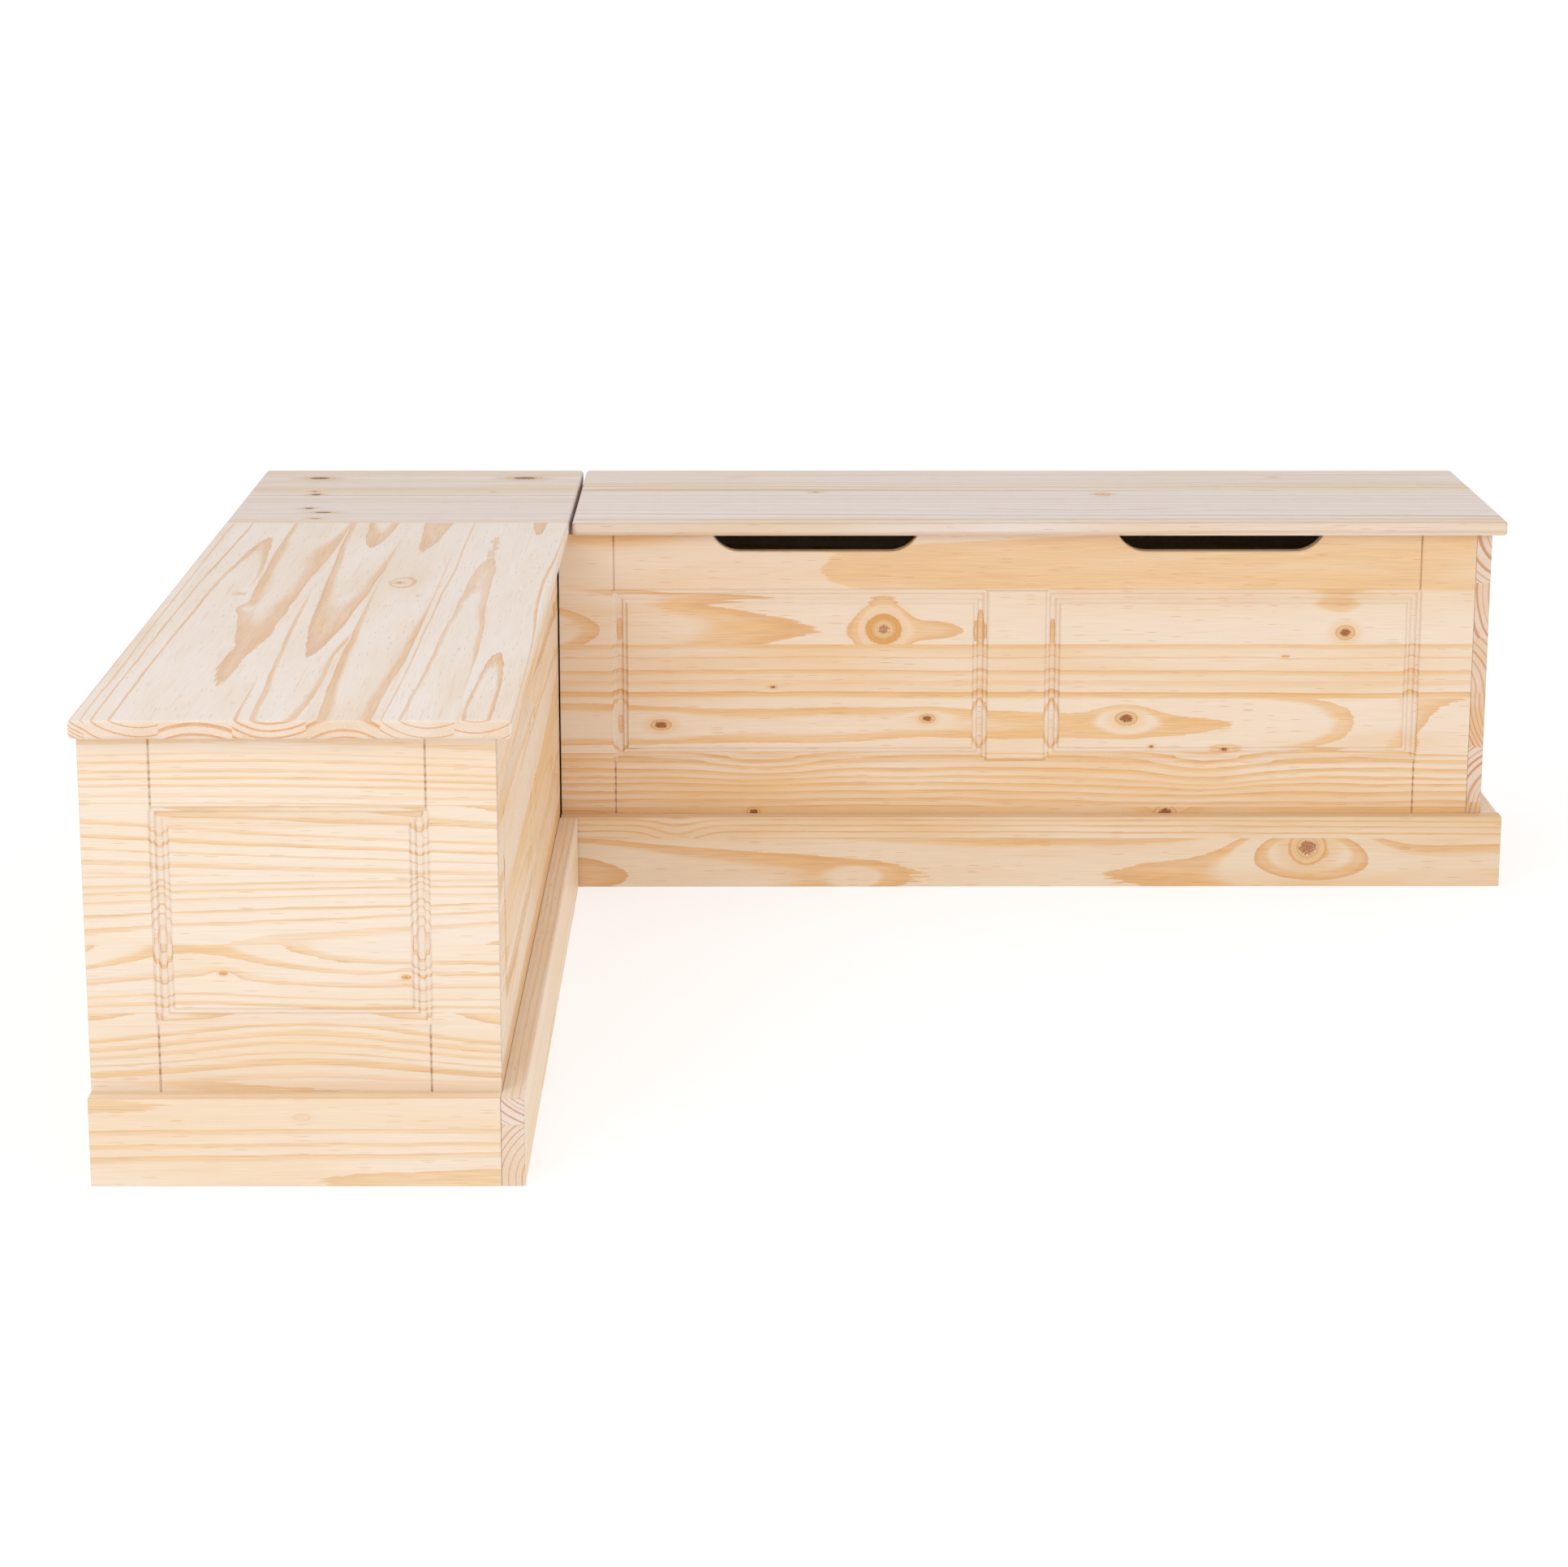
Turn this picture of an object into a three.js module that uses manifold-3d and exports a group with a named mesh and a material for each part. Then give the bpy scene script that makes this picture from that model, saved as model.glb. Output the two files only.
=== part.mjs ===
// Corner storage bench in solid pine: two lidded chests that meet at a fixed corner unit.
// Millimetres, +Z up. The origin is on the floor, under the middle of the overall box.
// The left chest runs front to back and faces +X. The right chest runs left to right and faces -Y.
// Each chest is drawn once, as the left one: x from its wall side to its front, y from its outer
// end to the corner. The right chest is the same drawing mirrored about the bench's diagonal.

import * as THREE from "three";
import { mergeVertices } from "three/addons/utils/BufferGeometryUtils.js";
import Module from "manifold-3d";

const wasm = await Module();
wasm.setup();

// Driving dimensions of the whole bench
const seatHeight = 460;
const seatDepth = 420;
const chestLength = 1152;

// Boards and the play between them
const boardThickness = 18;
const lidThickness = 18;
const clearance = 0.3;
const unitGap = 2;
const lidSeam = 4;

// How far a lid stands out past the box below it
const frontOverhang = 16;
const endOverhang = 16;
const wallOverhang = 6;

// Softened edges of lids and corner top
const lidEdgeRadius = 4;
const lidCornerRadius = 6;

// Routed frame-and-panel pattern on the outer faces
const stileWidth = 65;
const mullionWidth = 70;
const topRailHeight = 68;
const bottomRailHeight = 154;
const mouldingCornerRadius = 6;
const mouldingSlope = 2.2;
const mouldingShelf = 3;
const mouldingFloor = 4.7;
const shelfDepth = 2.4;
const channelDepth = 4.8;
const grooveInset = 2.7;
const grooveWidth = 2.4;
const grooveDepth = 1.6;
const frontBays = 2;
const endBays = 1;

// Hand holds in the top edge of each front panel
const handHoldDepth = 21.5;
const handHoldFlat = 184;
const handHoldRadius = 38;
const handHoldSpacing = 500;
const handHoldEdgeRadius = 2;

// Plinth boards round the visible foot
const plinthHeight = 89;
const plinthThickness = 22.5;
const plinthEdgeRadius = 2.5;

// Loose floor of a chest and the cleats that it lies on
const cleatSize = 20;
const cleatHeight = 40;
const floorThickness = 10;

// Battens that keep a lid flat
const battenWidth = 45;
const battenThickness = 18;
const battenEndInset = 90;
const battenFrontPlay = 8;
const battenBackPlay = 24;
const battenChamfer = 4;

// Butt hinges let into the back panel and the lid
const hingeCount = 3;
const hingeLength = 60;
const hingeEndInset = 130;
const hingeLeafWidth = 15;
const hingeLeafThickness = 1.5;
const knuckleRadius = 2.7;
const knuckleCount = 5;
const pinRadius = 1.2;
const screwHoleCount = 3;
const screwHoleEndInset = 8;
const screwHoleRadius = 1.6;
const countersinkRadius = 3;

// Joining bolts and their sleeve nuts between a chest and the corner unit
const boltHeight = 300;
const boltSideInset = 90;
const boltHeadRadius = 8;
const boltHeadThickness = 2.5;
const boltCrownShare = 0.7;
const boltShankRadius = 3;
const sleeveRadius = 4.5;
const sleeveEndWall = 6;

// How finely curves are cut into flats, and how far a cutter runs past what it cuts
const arcSteps = 4;
const wideArcSteps = 7;
const roundSides = 12;
const overrun = 5;
const mergeDistance = 1e-4;

// Sizes that follow from the ones above
const quarterTurn = Math.PI / 2;
const wallHeight = seatHeight - lidThickness - clearance;
const bodyDepth = seatDepth - frontOverhang - wallOverhang;
const bodyLength = chestLength - unitGap;
const bodyBack = wallOverhang;
const bodyFront = bodyBack + bodyDepth;
const bodyOuterEnd = endOverhang;
const bodyInnerEnd = bodyOuterEnd + bodyLength;
const innerBack = bodyBack + boardThickness;
const innerFront = bodyFront - boardThickness;
const innerOuterEnd = bodyOuterEnd + boardThickness;
const innerInnerEnd = bodyInnerEnd - boardThickness;
const armLength = chestLength + seatDepth;
const cornerStart = armLength - wallOverhang - bodyDepth;
const plinthProud = Math.max(plinthThickness + clearance - endOverhang, 0);
const hingeAxisX = wallOverhang / 2;
const hingeAxisZ = wallHeight + clearance / 2;
const pocketHalf = hingeLength / 2 + clearance;
const pocketReach = hingeLeafWidth + clearance;
const pocketDepth = clearance / 2 + hingeLeafThickness + clearance;
const lidLength = chestLength - lidSeam;

const pine = { roughness: 0.62, metalness: 0 };
const frontPine = new THREE.MeshStandardMaterial({ color: 0xecc79c, ...pine });
const topPine = new THREE.MeshStandardMaterial({ color: 0xe3d2c4, ...pine });
const innerPine = new THREE.MeshStandardMaterial({ color: 0xe8cfae, ...pine });
const zincSteel = new THREE.MeshStandardMaterial({ color: 0xb4b2ac, roughness: 0.35, metalness: 1 });

// A closed mesh as a solid that can be joined and cut.
function solidOf(geometry) {
  const bare = geometry.clone();
  bare.deleteAttribute("normal");
  bare.deleteAttribute("uv");
  const merged = mergeVertices(bare, mergeDistance);
  return new wasm.Manifold(
    new wasm.Mesh({
      numProp: 3,
      vertProperties: merged.attributes.position.array,
      triVerts: new Uint32Array(merged.index.array),
    }),
  );
}

// A solid back as a mesh with a flat normal on each facet.
function geometryOf(solid) {
  const mesh = solid.getMesh();
  const shared = new THREE.BufferGeometry();
  shared.setAttribute("position", new THREE.BufferAttribute(mesh.vertProperties, 3));
  shared.setIndex(new THREE.BufferAttribute(mesh.triVerts, 1));
  const facets = shared.toNonIndexed();
  facets.computeVertexNormals();
  return facets;
}

function cut(blank, ...cutters) {
  return geometryOf(cutters.reduce((left, cutter) => left.subtract(solidOf(cutter)), solidOf(blank)));
}

function join(...pieces) {
  return geometryOf(pieces.map(solidOf).reduce((whole, piece) => whole.add(piece)));
}

// A plain board between two corners given as [x, y, z].
function board(low, high) {
  const [width, depth, height] = high.map((value, axis) => value - low[axis]);
  const middle = high.map((value, axis) => (value + low[axis]) / 2);
  return new THREE.BoxGeometry(width, depth, height).translate(...middle);
}

// A round bar along Y between two places on its axis.
function barAlongY(radius, start, end) {
  const length = end - start;
  return new THREE.CylinderGeometry(radius, radius, length, roundSides).translate(0, start + length / 2, 0);
}

// A skin over a stack of loops with equally many points. The last loop joins the first one when
// the stack closes on itself, and otherwise both end loops, which are convex, are filled.
function skin(loops, closesOnItself) {
  const count = loops[0].length;
  const index = [];
  const bands = closesOnItself ? loops.length : loops.length - 1;
  for (let band = 0; band < bands; band += 1) {
    const below = band * count;
    const above = ((band + 1) % loops.length) * count;
    for (let i = 0; i < count; i += 1) {
      const next = (i + 1) % count;
      index.push(below + i, below + next, above + next);
      index.push(below + i, above + next, above + i);
    }
  }
  if (!closesOnItself) {
    const top = bands * count;
    for (let i = 1; i < count - 1; i += 1) {
      index.push(0, i + 1, i);
      index.push(top, top + i, top + i + 1);
    }
  }
  const positions = new THREE.Float32BufferAttribute(loops.flat(2), 3);
  const whole = new THREE.BufferGeometry().setAttribute("position", positions).setIndex(index);
  return withoutSlivers(whole);
}

// Drops the triangles whose corners fell together where a rounded corner has shrunk to a point.
function withoutSlivers(geometry) {
  const merged = mergeVertices(geometry, mergeDistance);
  const index = merged.index.array;
  const kept = [];
  for (let i = 0; i < index.length; i += 3) {
    const [a, b, c] = index.slice(i, i + 3);
    if (a !== b && b !== c && c !== a) kept.push(a, b, c);
  }
  return merged.setIndex(kept);
}

// A rectangle with rounded corners about the origin, drawn in by an inset, at one height.
function rectangleLoop(width, height, radius, inset, z) {
  const rounding = Math.max(radius - inset, 0);
  const x = width / 2 - inset - rounding;
  const y = height / 2 - inset - rounding;
  const centres = [[x, y], [-x, y], [-x, -y], [x, -y]];
  const points = [];
  centres.forEach(([cx, cy], quarter) => {
    for (let step = 0; step <= arcSteps; step += 1) {
      const angle = (quarter + step / arcSteps) * quarterTurn;
      points.push([cx + rounding * Math.cos(angle), cy + rounding * Math.sin(angle), z]);
    }
  });
  return points;
}

// The cutter for one raised field: a channel with a shelf on both sides of its floor, mitred round
// a rectangle, with the outer corners rounded by the tool and the inner ones left sharp.
function mouldingCutter(width, height) {
  const shelfStart = mouldingSlope;
  const shelfEnd = shelfStart + mouldingShelf;
  const floorStart = shelfEnd + mouldingSlope;
  const floorEnd = floorStart + mouldingFloor;
  const farShelfStart = floorEnd + mouldingSlope;
  const farShelfEnd = farShelfStart + mouldingShelf;
  const farEdge = farShelfEnd + mouldingSlope;
  const profile = [
    [0, overrun],
    [0, 0],
    [shelfStart, -shelfDepth],
    [shelfEnd, -shelfDepth],
    [floorStart, -channelDepth],
    [floorEnd, -channelDepth],
    [farShelfStart, -shelfDepth],
    [farShelfEnd, -shelfDepth],
    [farEdge, 0],
    [farEdge, overrun],
  ];
  const loops = profile.map(([inset, z]) => rectangleLoop(width, height, mouldingCornerRadius, inset, z));
  return skin(loops.reverse(), true);
}

// The cutter for a fine V groove between two places on a panel's face.
function grooveCutter([startX, startY], [endX, endY]) {
  const along = new THREE.Vector3(endX - startX, endY - startY, 0);
  const length = along.length();
  const outward = new THREE.Vector3(0, 0, 1);
  along.normalize();
  const across = new THREE.Vector3().crossVectors(outward, along);
  const mouthHalf = ((grooveWidth / 2) * (grooveDepth + overrun)) / grooveDepth;
  const section = new THREE.Shape();
  section.moveTo(0, -grooveDepth);
  section.lineTo(mouthHalf, overrun);
  section.lineTo(-mouthHalf, overrun);
  section.closePath();
  const prism = new THREE.ExtrudeGeometry(section, { depth: length, bevelEnabled: false });
  const placing = new THREE.Matrix4().makeBasis(across, outward, along).setPosition(startX, startY, 0);
  return prism.applyMatrix4(placing);
}

// The outline of a hand hold at one depth in the board: a flat with a large arc at each end, open
// at the board's top edge. The outset widens it where the edges are rounded over.
function handHoldLoop(middle, panelTop, outset, z) {
  const radius = handHoldRadius + outset;
  const centreY = panelTop - handHoldDepth + handHoldRadius;
  const topAngle = Math.asin(Math.min((handHoldDepth - handHoldRadius) / radius, 0));
  const right = [];
  for (let step = 0; step <= wideArcSteps; step += 1) {
    const angle = THREE.MathUtils.lerp(-quarterTurn, topAngle, step / wideArcSteps);
    right.push([handHoldFlat / 2 + radius * Math.cos(angle), centreY + radius * Math.sin(angle)]);
  }
  right.push([right.at(-1)[0], panelTop + overrun]);
  const left = right.map(([x, y]) => [-x, y]).reverse();
  return [...right, ...left].map(([x, y]) => [middle + x, y, z]);
}

// The cutter for a hand hold, flared at both faces so that the wood's edges come out rounded over.
function handHoldCutter(middle, panelTop) {
  const loops = [handHoldLoop(middle, panelTop, handHoldEdgeRadius, -boardThickness - overrun)];
  const rounding = [];
  for (let step = 0; step <= arcSteps; step += 1) {
    const angle = (step / arcSteps) * quarterTurn;
    rounding.push([handHoldEdgeRadius * (1 - Math.sin(angle)), handHoldEdgeRadius * (1 - Math.cos(angle))]);
  }
  for (const [outset, depth] of rounding) {
    loops.push(handHoldLoop(middle, panelTop, outset, depth - boardThickness));
  }
  for (const [outset, depth] of rounding.toReversed()) {
    loops.push(handHoldLoop(middle, panelTop, outset, -depth));
  }
  loops.push(handHoldLoop(middle, panelTop, handHoldEdgeRadius, overrun));
  return skin(loops, false);
}

// A panel that imitates frame and panel work: x along its length, y up, the routed face at z = 0.
function mouldedPanel(length, bays, handHoldMiddles) {
  const blank = board([0, 0, -boardThickness], [length, wallHeight, 0]);
  const bayWidth = (length - 2 * stileWidth - (bays - 1) * mullionWidth) / bays;
  const bayBottom = bottomRailHeight;
  const bayTop = wallHeight - topRailHeight;
  const cutters = handHoldMiddles.map((middle) => handHoldCutter(middle, wallHeight));
  for (let bay = 0; bay < bays; bay += 1) {
    const left = stileWidth + bay * (bayWidth + mullionWidth);
    const moulding = mouldingCutter(bayWidth, bayTop - bayBottom);
    cutters.push(moulding.translate(left + bayWidth / 2, (bayBottom + bayTop) / 2, 0));
    if (bay === 0) continue;
    for (const y of [bayBottom + grooveInset, bayTop - grooveInset]) {
      cutters.push(grooveCutter([left - mullionWidth - grooveInset, y], [left + grooveInset, y]));
    }
  }
  for (const x of [stileWidth + grooveInset, length - stileWidth - grooveInset]) {
    cutters.push(grooveCutter([x, -overrun], [x, bayBottom + grooveInset]));
    cutters.push(grooveCutter([x, bayTop - grooveInset], [x, wallHeight + overrun]));
  }
  return cut(blank, ...cutters);
}

// A slab with its corners rounded in plan and all its edges rounded over, lying on z = 0.
function softSlab(width, depth, thickness) {
  const round = Math.min(lidEdgeRadius, thickness / 2);
  const corner = Math.max(lidCornerRadius, round);
  const outline = new THREE.Shape();
  outline.absarc(width - corner, corner, corner, -quarterTurn, 0);
  outline.absarc(width - corner, depth - corner, corner, 0, quarterTurn);
  outline.absarc(corner, depth - corner, corner, quarterTurn, 2 * quarterTurn);
  outline.absarc(corner, corner, corner, 2 * quarterTurn, 3 * quarterTurn);
  return new THREE.ExtrudeGeometry(outline, {
    depth: thickness - 2 * round,
    curveSegments: arcSteps,
    bevelSegments: arcSteps,
    bevelSize: round,
    bevelOffset: -round,
    bevelThickness: round,
  }).translate(0, 0, round);
}

// A plinth board: its section has x outwards from the panel and y up, and it is drawn out along z.
function plinthBoard(length) {
  const section = new THREE.Shape();
  section.moveTo(0, 0);
  section.lineTo(plinthThickness, 0);
  section.absarc(
    plinthThickness - plinthEdgeRadius,
    plinthHeight - plinthEdgeRadius,
    plinthEdgeRadius,
    0,
    quarterTurn,
  );
  section.lineTo(0, plinthHeight);
  section.closePath();
  return new THREE.ExtrudeGeometry(section, { depth: length, bevelEnabled: false, curveSegments: arcSteps });
}

// Middles of the knuckles along the pin, with the leaf that each one belongs to.
function knuckles() {
  const pitch = hingeLength / knuckleCount;
  return Array.from({ length: knuckleCount }, (_, i) => ({
    start: i * pitch - hingeLength / 2 + clearance / 2,
    end: (i + 1) * pitch - hingeLength / 2 - clearance / 2,
    onBody: i % 2 === 0,
  }));
}

// The cutter for one countersunk screw hole, along Y, with the leaf's open face at y = 0 and the
// face against the wood below it.
function countersinkCutter() {
  const slope = (countersinkRadius - screwHoleRadius) / hingeLeafThickness;
  const widest = countersinkRadius + slope * clearance;
  const narrowest = screwHoleRadius - slope * clearance;
  const profile = [
    [0, -hingeLeafThickness - overrun],
    [narrowest, -hingeLeafThickness - overrun],
    [narrowest, -hingeLeafThickness - clearance],
    [widest, clearance],
    [widest, overrun],
    [0, overrun],
  ];
  return new THREE.LatheGeometry(profile.map(([r, y]) => new THREE.Vector2(r, y)), roundSides);
}

// The row of screw holes in a leaf, midway between its knuckles and its free edge.
function screwHoles(side, openFace) {
  const setback = (knuckleRadius + hingeLeafWidth) / 2;
  const reach = hingeLength / 2 - screwHoleEndInset;
  return Array.from({ length: screwHoleCount }, (_, i) => {
    const y = THREE.MathUtils.lerp(-reach, reach, i / Math.max(screwHoleCount - 1, 1));
    return countersinkCutter().rotateX(-side * quarterTurn).translate(setback, y, openFace);
  });
}

// One hinge leaf about its pin, which lies along Y at the origin. The body leaf lies below the
// pin's level and the lid leaf above it.
function hingeLeaf(onBody) {
  const side = onBody ? -1 : 1;
  const nearFace = (side * clearance) / 2;
  const farFace = nearFace + side * hingeLeafThickness;
  const plate = board(
    [0, -hingeLength / 2, Math.min(nearFace, farFace)],
    [hingeLeafWidth, hingeLength / 2, Math.max(nearFace, farFace)],
  );
  const own = knuckles().filter((knuckle) => knuckle.onBody === onBody);
  const other = knuckles().filter((knuckle) => knuckle.onBody !== onBody);
  const notches = other.map(({ start, end }) =>
    barAlongY(knuckleRadius + clearance, start - clearance, end + clearance),
  );
  const rolls = own.map(({ start, end }) => barAlongY(knuckleRadius, start, end));
  const bore = barAlongY(pinRadius + clearance, -hingeLength / 2 - overrun, hingeLength / 2 + overrun);
  return cut(join(cut(plate, ...notches, ...screwHoles(side, nearFace)), ...rolls), bore);
}

// The pocket in a back panel's top edge that a body leaf lies in, open to the back for the knuckles.
function bodyLeafPocket() {
  return board([-overrun, -pocketHalf, -pocketDepth], [pocketReach, pocketHalf, overrun]);
}

// The pocket under a lid starts at the pin, so that the back edge stays whole beside the groove.
function lidLeafPocket() {
  return board([0, -pocketHalf, -overrun], [pocketReach, pocketHalf, pocketDepth]);
}

// The half-round groove under a lid's back edge that clears the knuckles.
function knuckleGroove() {
  return barAlongY(knuckleRadius + 2 * clearance, -pocketHalf, pocketHalf);
}

// Middles of the hinges along a chest.
function hingePlaces() {
  const first = bodyOuterEnd + hingeEndInset;
  const last = bodyInnerEnd - hingeEndInset;
  return Array.from({ length: hingeCount }, (_, i) =>
    THREE.MathUtils.lerp(first, last, i / Math.max(hingeCount - 1, 1)),
  );
}

// A lid, with its hinge pockets, in the chest's own place.
function chestLid() {
  const slab = softSlab(seatDepth, lidLength, lidThickness).translate(0, 0, seatHeight - lidThickness);
  const cutters = hingePlaces().flatMap((y) =>
    [lidLeafPocket(), knuckleGroove()].map((cutter) => cutter.translate(hingeAxisX, y, hingeAxisZ)),
  );
  return cut(slab, ...cutters);
}

function backPanel() {
  const blank = board([bodyBack, innerOuterEnd + clearance, 0], [innerBack, bodyInnerEnd, wallHeight]);
  const pockets = hingePlaces().map((y) => bodyLeafPocket().translate(hingeAxisX, y, hingeAxisZ));
  return cut(blank, ...pockets);
}

// A batten across the underside of a lid, with its lower ends cut back at a slant.
function lidBatten() {
  const start = innerBack + battenBackPlay;
  const end = innerFront - battenFrontPlay;
  const top = seatHeight - lidThickness - clearance;
  const bottom = top - battenThickness;
  const side = new THREE.Shape();
  side.moveTo(start + battenChamfer, bottom);
  side.lineTo(end - battenChamfer, bottom);
  side.lineTo(end, bottom + battenChamfer);
  side.lineTo(end, top);
  side.lineTo(start, top);
  side.lineTo(start, bottom + battenChamfer);
  side.closePath();
  return new THREE.ExtrudeGeometry(side, { depth: battenWidth, bevelEnabled: false });
}

// Places of the joining bolts, measured from the wall side of the bench.
function boltPlaces() {
  return [bodyBack + boltSideInset, bodyFront - boltSideInset];
}

function boltHole(x) {
  const hole = barAlongY(sleeveRadius + clearance, 0, 2 * boardThickness + unitGap + 2 * overrun);
  return hole.translate(x, innerInnerEnd - overrun, boltHeight);
}

function innerEndPanel() {
  const blank = board(
    [innerBack + clearance, innerInnerEnd, 0],
    [innerFront - clearance, bodyInnerEnd, wallHeight],
  );
  return cut(blank, ...boltPlaces().map(boltHole));
}

// The bolt: a flat round head inside the chest and a shank that runs into the sleeve nut.
function joiningBolt() {
  const headBack = innerInnerEnd - clearance - boltHeadThickness;
  const headFront = innerInnerEnd - clearance;
  const shankEnd = bodyInnerEnd + unitGap + boardThickness - sleeveEndWall - clearance;
  const profile = [
    [0, headBack],
    [boltHeadRadius * boltCrownShare, headBack],
    [boltHeadRadius, headBack + boltHeadThickness / 2],
    [boltHeadRadius, headFront],
    [boltShankRadius, headFront],
    [boltShankRadius, shankEnd],
    [0, shankEnd],
  ];
  return new THREE.LatheGeometry(profile.map(([r, y]) => new THREE.Vector2(r, y)), roundSides);
}

// The sleeve nut: a barrel through both boards with a blind bore, headed inside the corner unit.
function sleeveNut() {
  const mouth = innerInnerEnd + clearance;
  const headFront = bodyInnerEnd + unitGap + boardThickness + clearance;
  const headBack = headFront + boltHeadThickness;
  const boreEnd = headFront - clearance - sleeveEndWall;
  const profile = [
    [0, boreEnd],
    [boltShankRadius + clearance, boreEnd],
    [boltShankRadius + clearance, mouth],
    [sleeveRadius, mouth],
    [sleeveRadius, headFront],
    [boltHeadRadius, headFront],
    [boltHeadRadius, headBack - boltHeadThickness / 2],
    [boltHeadRadius * boltCrownShare, headBack],
    [0, headBack],
  ];
  return new THREE.LatheGeometry(profile.map(([r, y]) => new THREE.Vector2(r, y)), roundSides);
}

function addPiece(group, name, geometry, material, position = [0, 0, 0], rotation = [0, 0, 0]) {
  const mesh = new THREE.Mesh(geometry, material);
  mesh.name = name;
  mesh.position.set(...position);
  mesh.rotation.set(...rotation);
  group.add(mesh);
}

// The four walls of a chest. Each front or end panel is drawn flat and turned to face outwards.
function addWalls(chest, side) {
  const frontLength = bodyInnerEnd - innerOuterEnd - clearance;
  const holds = [-handHoldSpacing / 2, handHoldSpacing / 2].map((offset) => frontLength / 2 + offset);
  addPiece(
    chest,
    `${side}_front_panel`,
    mouldedPanel(frontLength, frontBays, holds),
    frontPine,
    [bodyFront, innerOuterEnd + clearance, 0],
    [quarterTurn, quarterTurn, 0],
  );
  addPiece(
    chest,
    `${side}_outer_end_panel`,
    mouldedPanel(bodyDepth, endBays, []),
    frontPine,
    [bodyBack, bodyOuterEnd, 0],
    [quarterTurn, 0, 0],
  );
  addPiece(chest, `${side}_back_panel`, backPanel(), innerPine);
  addPiece(chest, `${side}_inner_end_panel`, innerEndPanel(), innerPine);
}

// The loose floor on its two cleats.
function addFloor(chest, side) {
  const low = [innerBack + clearance, innerOuterEnd + clearance, cleatHeight];
  const high = [innerFront - clearance, innerInnerEnd - clearance, cleatHeight + cleatSize];
  const floorBottom = cleatHeight + cleatSize + clearance;
  addPiece(chest, `${side}_back_cleat`, board(low, [low[0] + cleatSize, high[1], high[2]]), innerPine);
  addPiece(chest, `${side}_front_cleat`, board([high[0] - cleatSize, low[1], low[2]], high), innerPine);
  const floor = board(
    [low[0], low[1], floorBottom],
    [high[0], high[1], floorBottom + floorThickness],
  );
  addPiece(chest, `${side}_floor_board`, floor, innerPine);
}

// The front plinth laps over the end plinth's end at the bench's outer corner.
function addPlinths(chest, side, frontPlinthEnd) {
  const outerFace = bodyOuterEnd - clearance - plinthThickness;
  addPiece(
    chest,
    `${side}_front_plinth`,
    plinthBoard(frontPlinthEnd - outerFace),
    frontPine,
    [bodyFront + clearance, frontPlinthEnd, 0],
    [quarterTurn, 0, 0],
  );
  addPiece(
    chest,
    `${side}_end_plinth`,
    plinthBoard(bodyDepth),
    frontPine,
    [bodyFront, bodyOuterEnd - clearance, 0],
    [quarterTurn, -quarterTurn, 0],
  );
}

function addLid(chest, side) {
  addPiece(chest, `${side}_lid`, chestLid(), topPine);
  const outer = bodyOuterEnd + battenEndInset + battenWidth;
  const inner = bodyInnerEnd - battenEndInset;
  const places = [["outer", outer], ["inner", inner]];
  for (const [end, y] of places) {
    addPiece(chest, `${side}_lid_batten_${end}`, lidBatten(), innerPine, [0, y, 0], [quarterTurn, 0, 0]);
  }
}

function addHinges(chest, side) {
  hingePlaces().forEach((y, i) => {
    const axis = [hingeAxisX, y, hingeAxisZ];
    const name = `${side}_hinge_${i + 1}`;
    addPiece(chest, `${name}_body_leaf`, hingeLeaf(true), zincSteel, axis);
    addPiece(chest, `${name}_lid_leaf`, hingeLeaf(false), zincSteel, axis);
    addPiece(chest, `${name}_pin`, barAlongY(pinRadius, -hingeLength / 2, hingeLength / 2), zincSteel, axis);
  });
}

function addBolts(chest, side) {
  boltPlaces().forEach((x, i) => {
    const place = [x, 0, boltHeight];
    addPiece(chest, `${side}_joining_bolt_${i + 1}`, joiningBolt(), zincSteel, place);
    addPiece(chest, `${side}_sleeve_nut_${i + 1}`, sleeveNut(), zincSteel, place);
  });
}

function makeChest(side, frontPlinthEnd) {
  const chest = new THREE.Group();
  addWalls(chest, side);
  addFloor(chest, side);
  addPlinths(chest, side, frontPlinthEnd);
  addLid(chest, side);
  addHinges(chest, side);
  addBolts(chest, side);
  return chest;
}

// The corner unit: a square box with two walls against the room and two against the chests, whose
// boards follow each other round, and a fixed top on cleats.
function makeCorner() {
  const corner = new THREE.Group();
  const wallSide = bodyBack;
  const nearSide = cornerStart;
  const farSide = cornerStart + bodyDepth;
  const rightSide = bodyFront;
  const innerLeft = wallSide + boardThickness + clearance;
  const innerRight = rightSide - boardThickness - clearance;
  const innerFar = farSide - boardThickness - clearance;
  const leftWall = board([wallSide, nearSide, 0], [wallSide + boardThickness, farSide, wallHeight]);
  const backWall = board([innerLeft, farSide - boardThickness, 0], [rightSide, farSide, wallHeight]);
  const holes = boltPlaces().map(boltHole);
  const leftSide = board([innerLeft, nearSide, 0], [innerRight, nearSide + boardThickness, wallHeight]);
  const rightPanel = board([rightSide - boardThickness, nearSide, 0], [rightSide, innerFar, wallHeight]);
  const mirrored = boltPlaces().map((x) => mirrorToRightArm(boltHole(x)));
  addPiece(corner, "corner_left_wall_panel", leftWall, innerPine);
  addPiece(corner, "corner_back_wall_panel", backWall, innerPine);
  addPiece(corner, "corner_left_chest_side_panel", cut(leftSide, ...holes), innerPine);
  addPiece(corner, "corner_right_chest_side_panel", cut(rightPanel, ...mirrored), innerPine);
  addTop(corner, innerLeft, innerRight, nearSide + boardThickness + clearance, innerFar);
  return corner;
}

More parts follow.
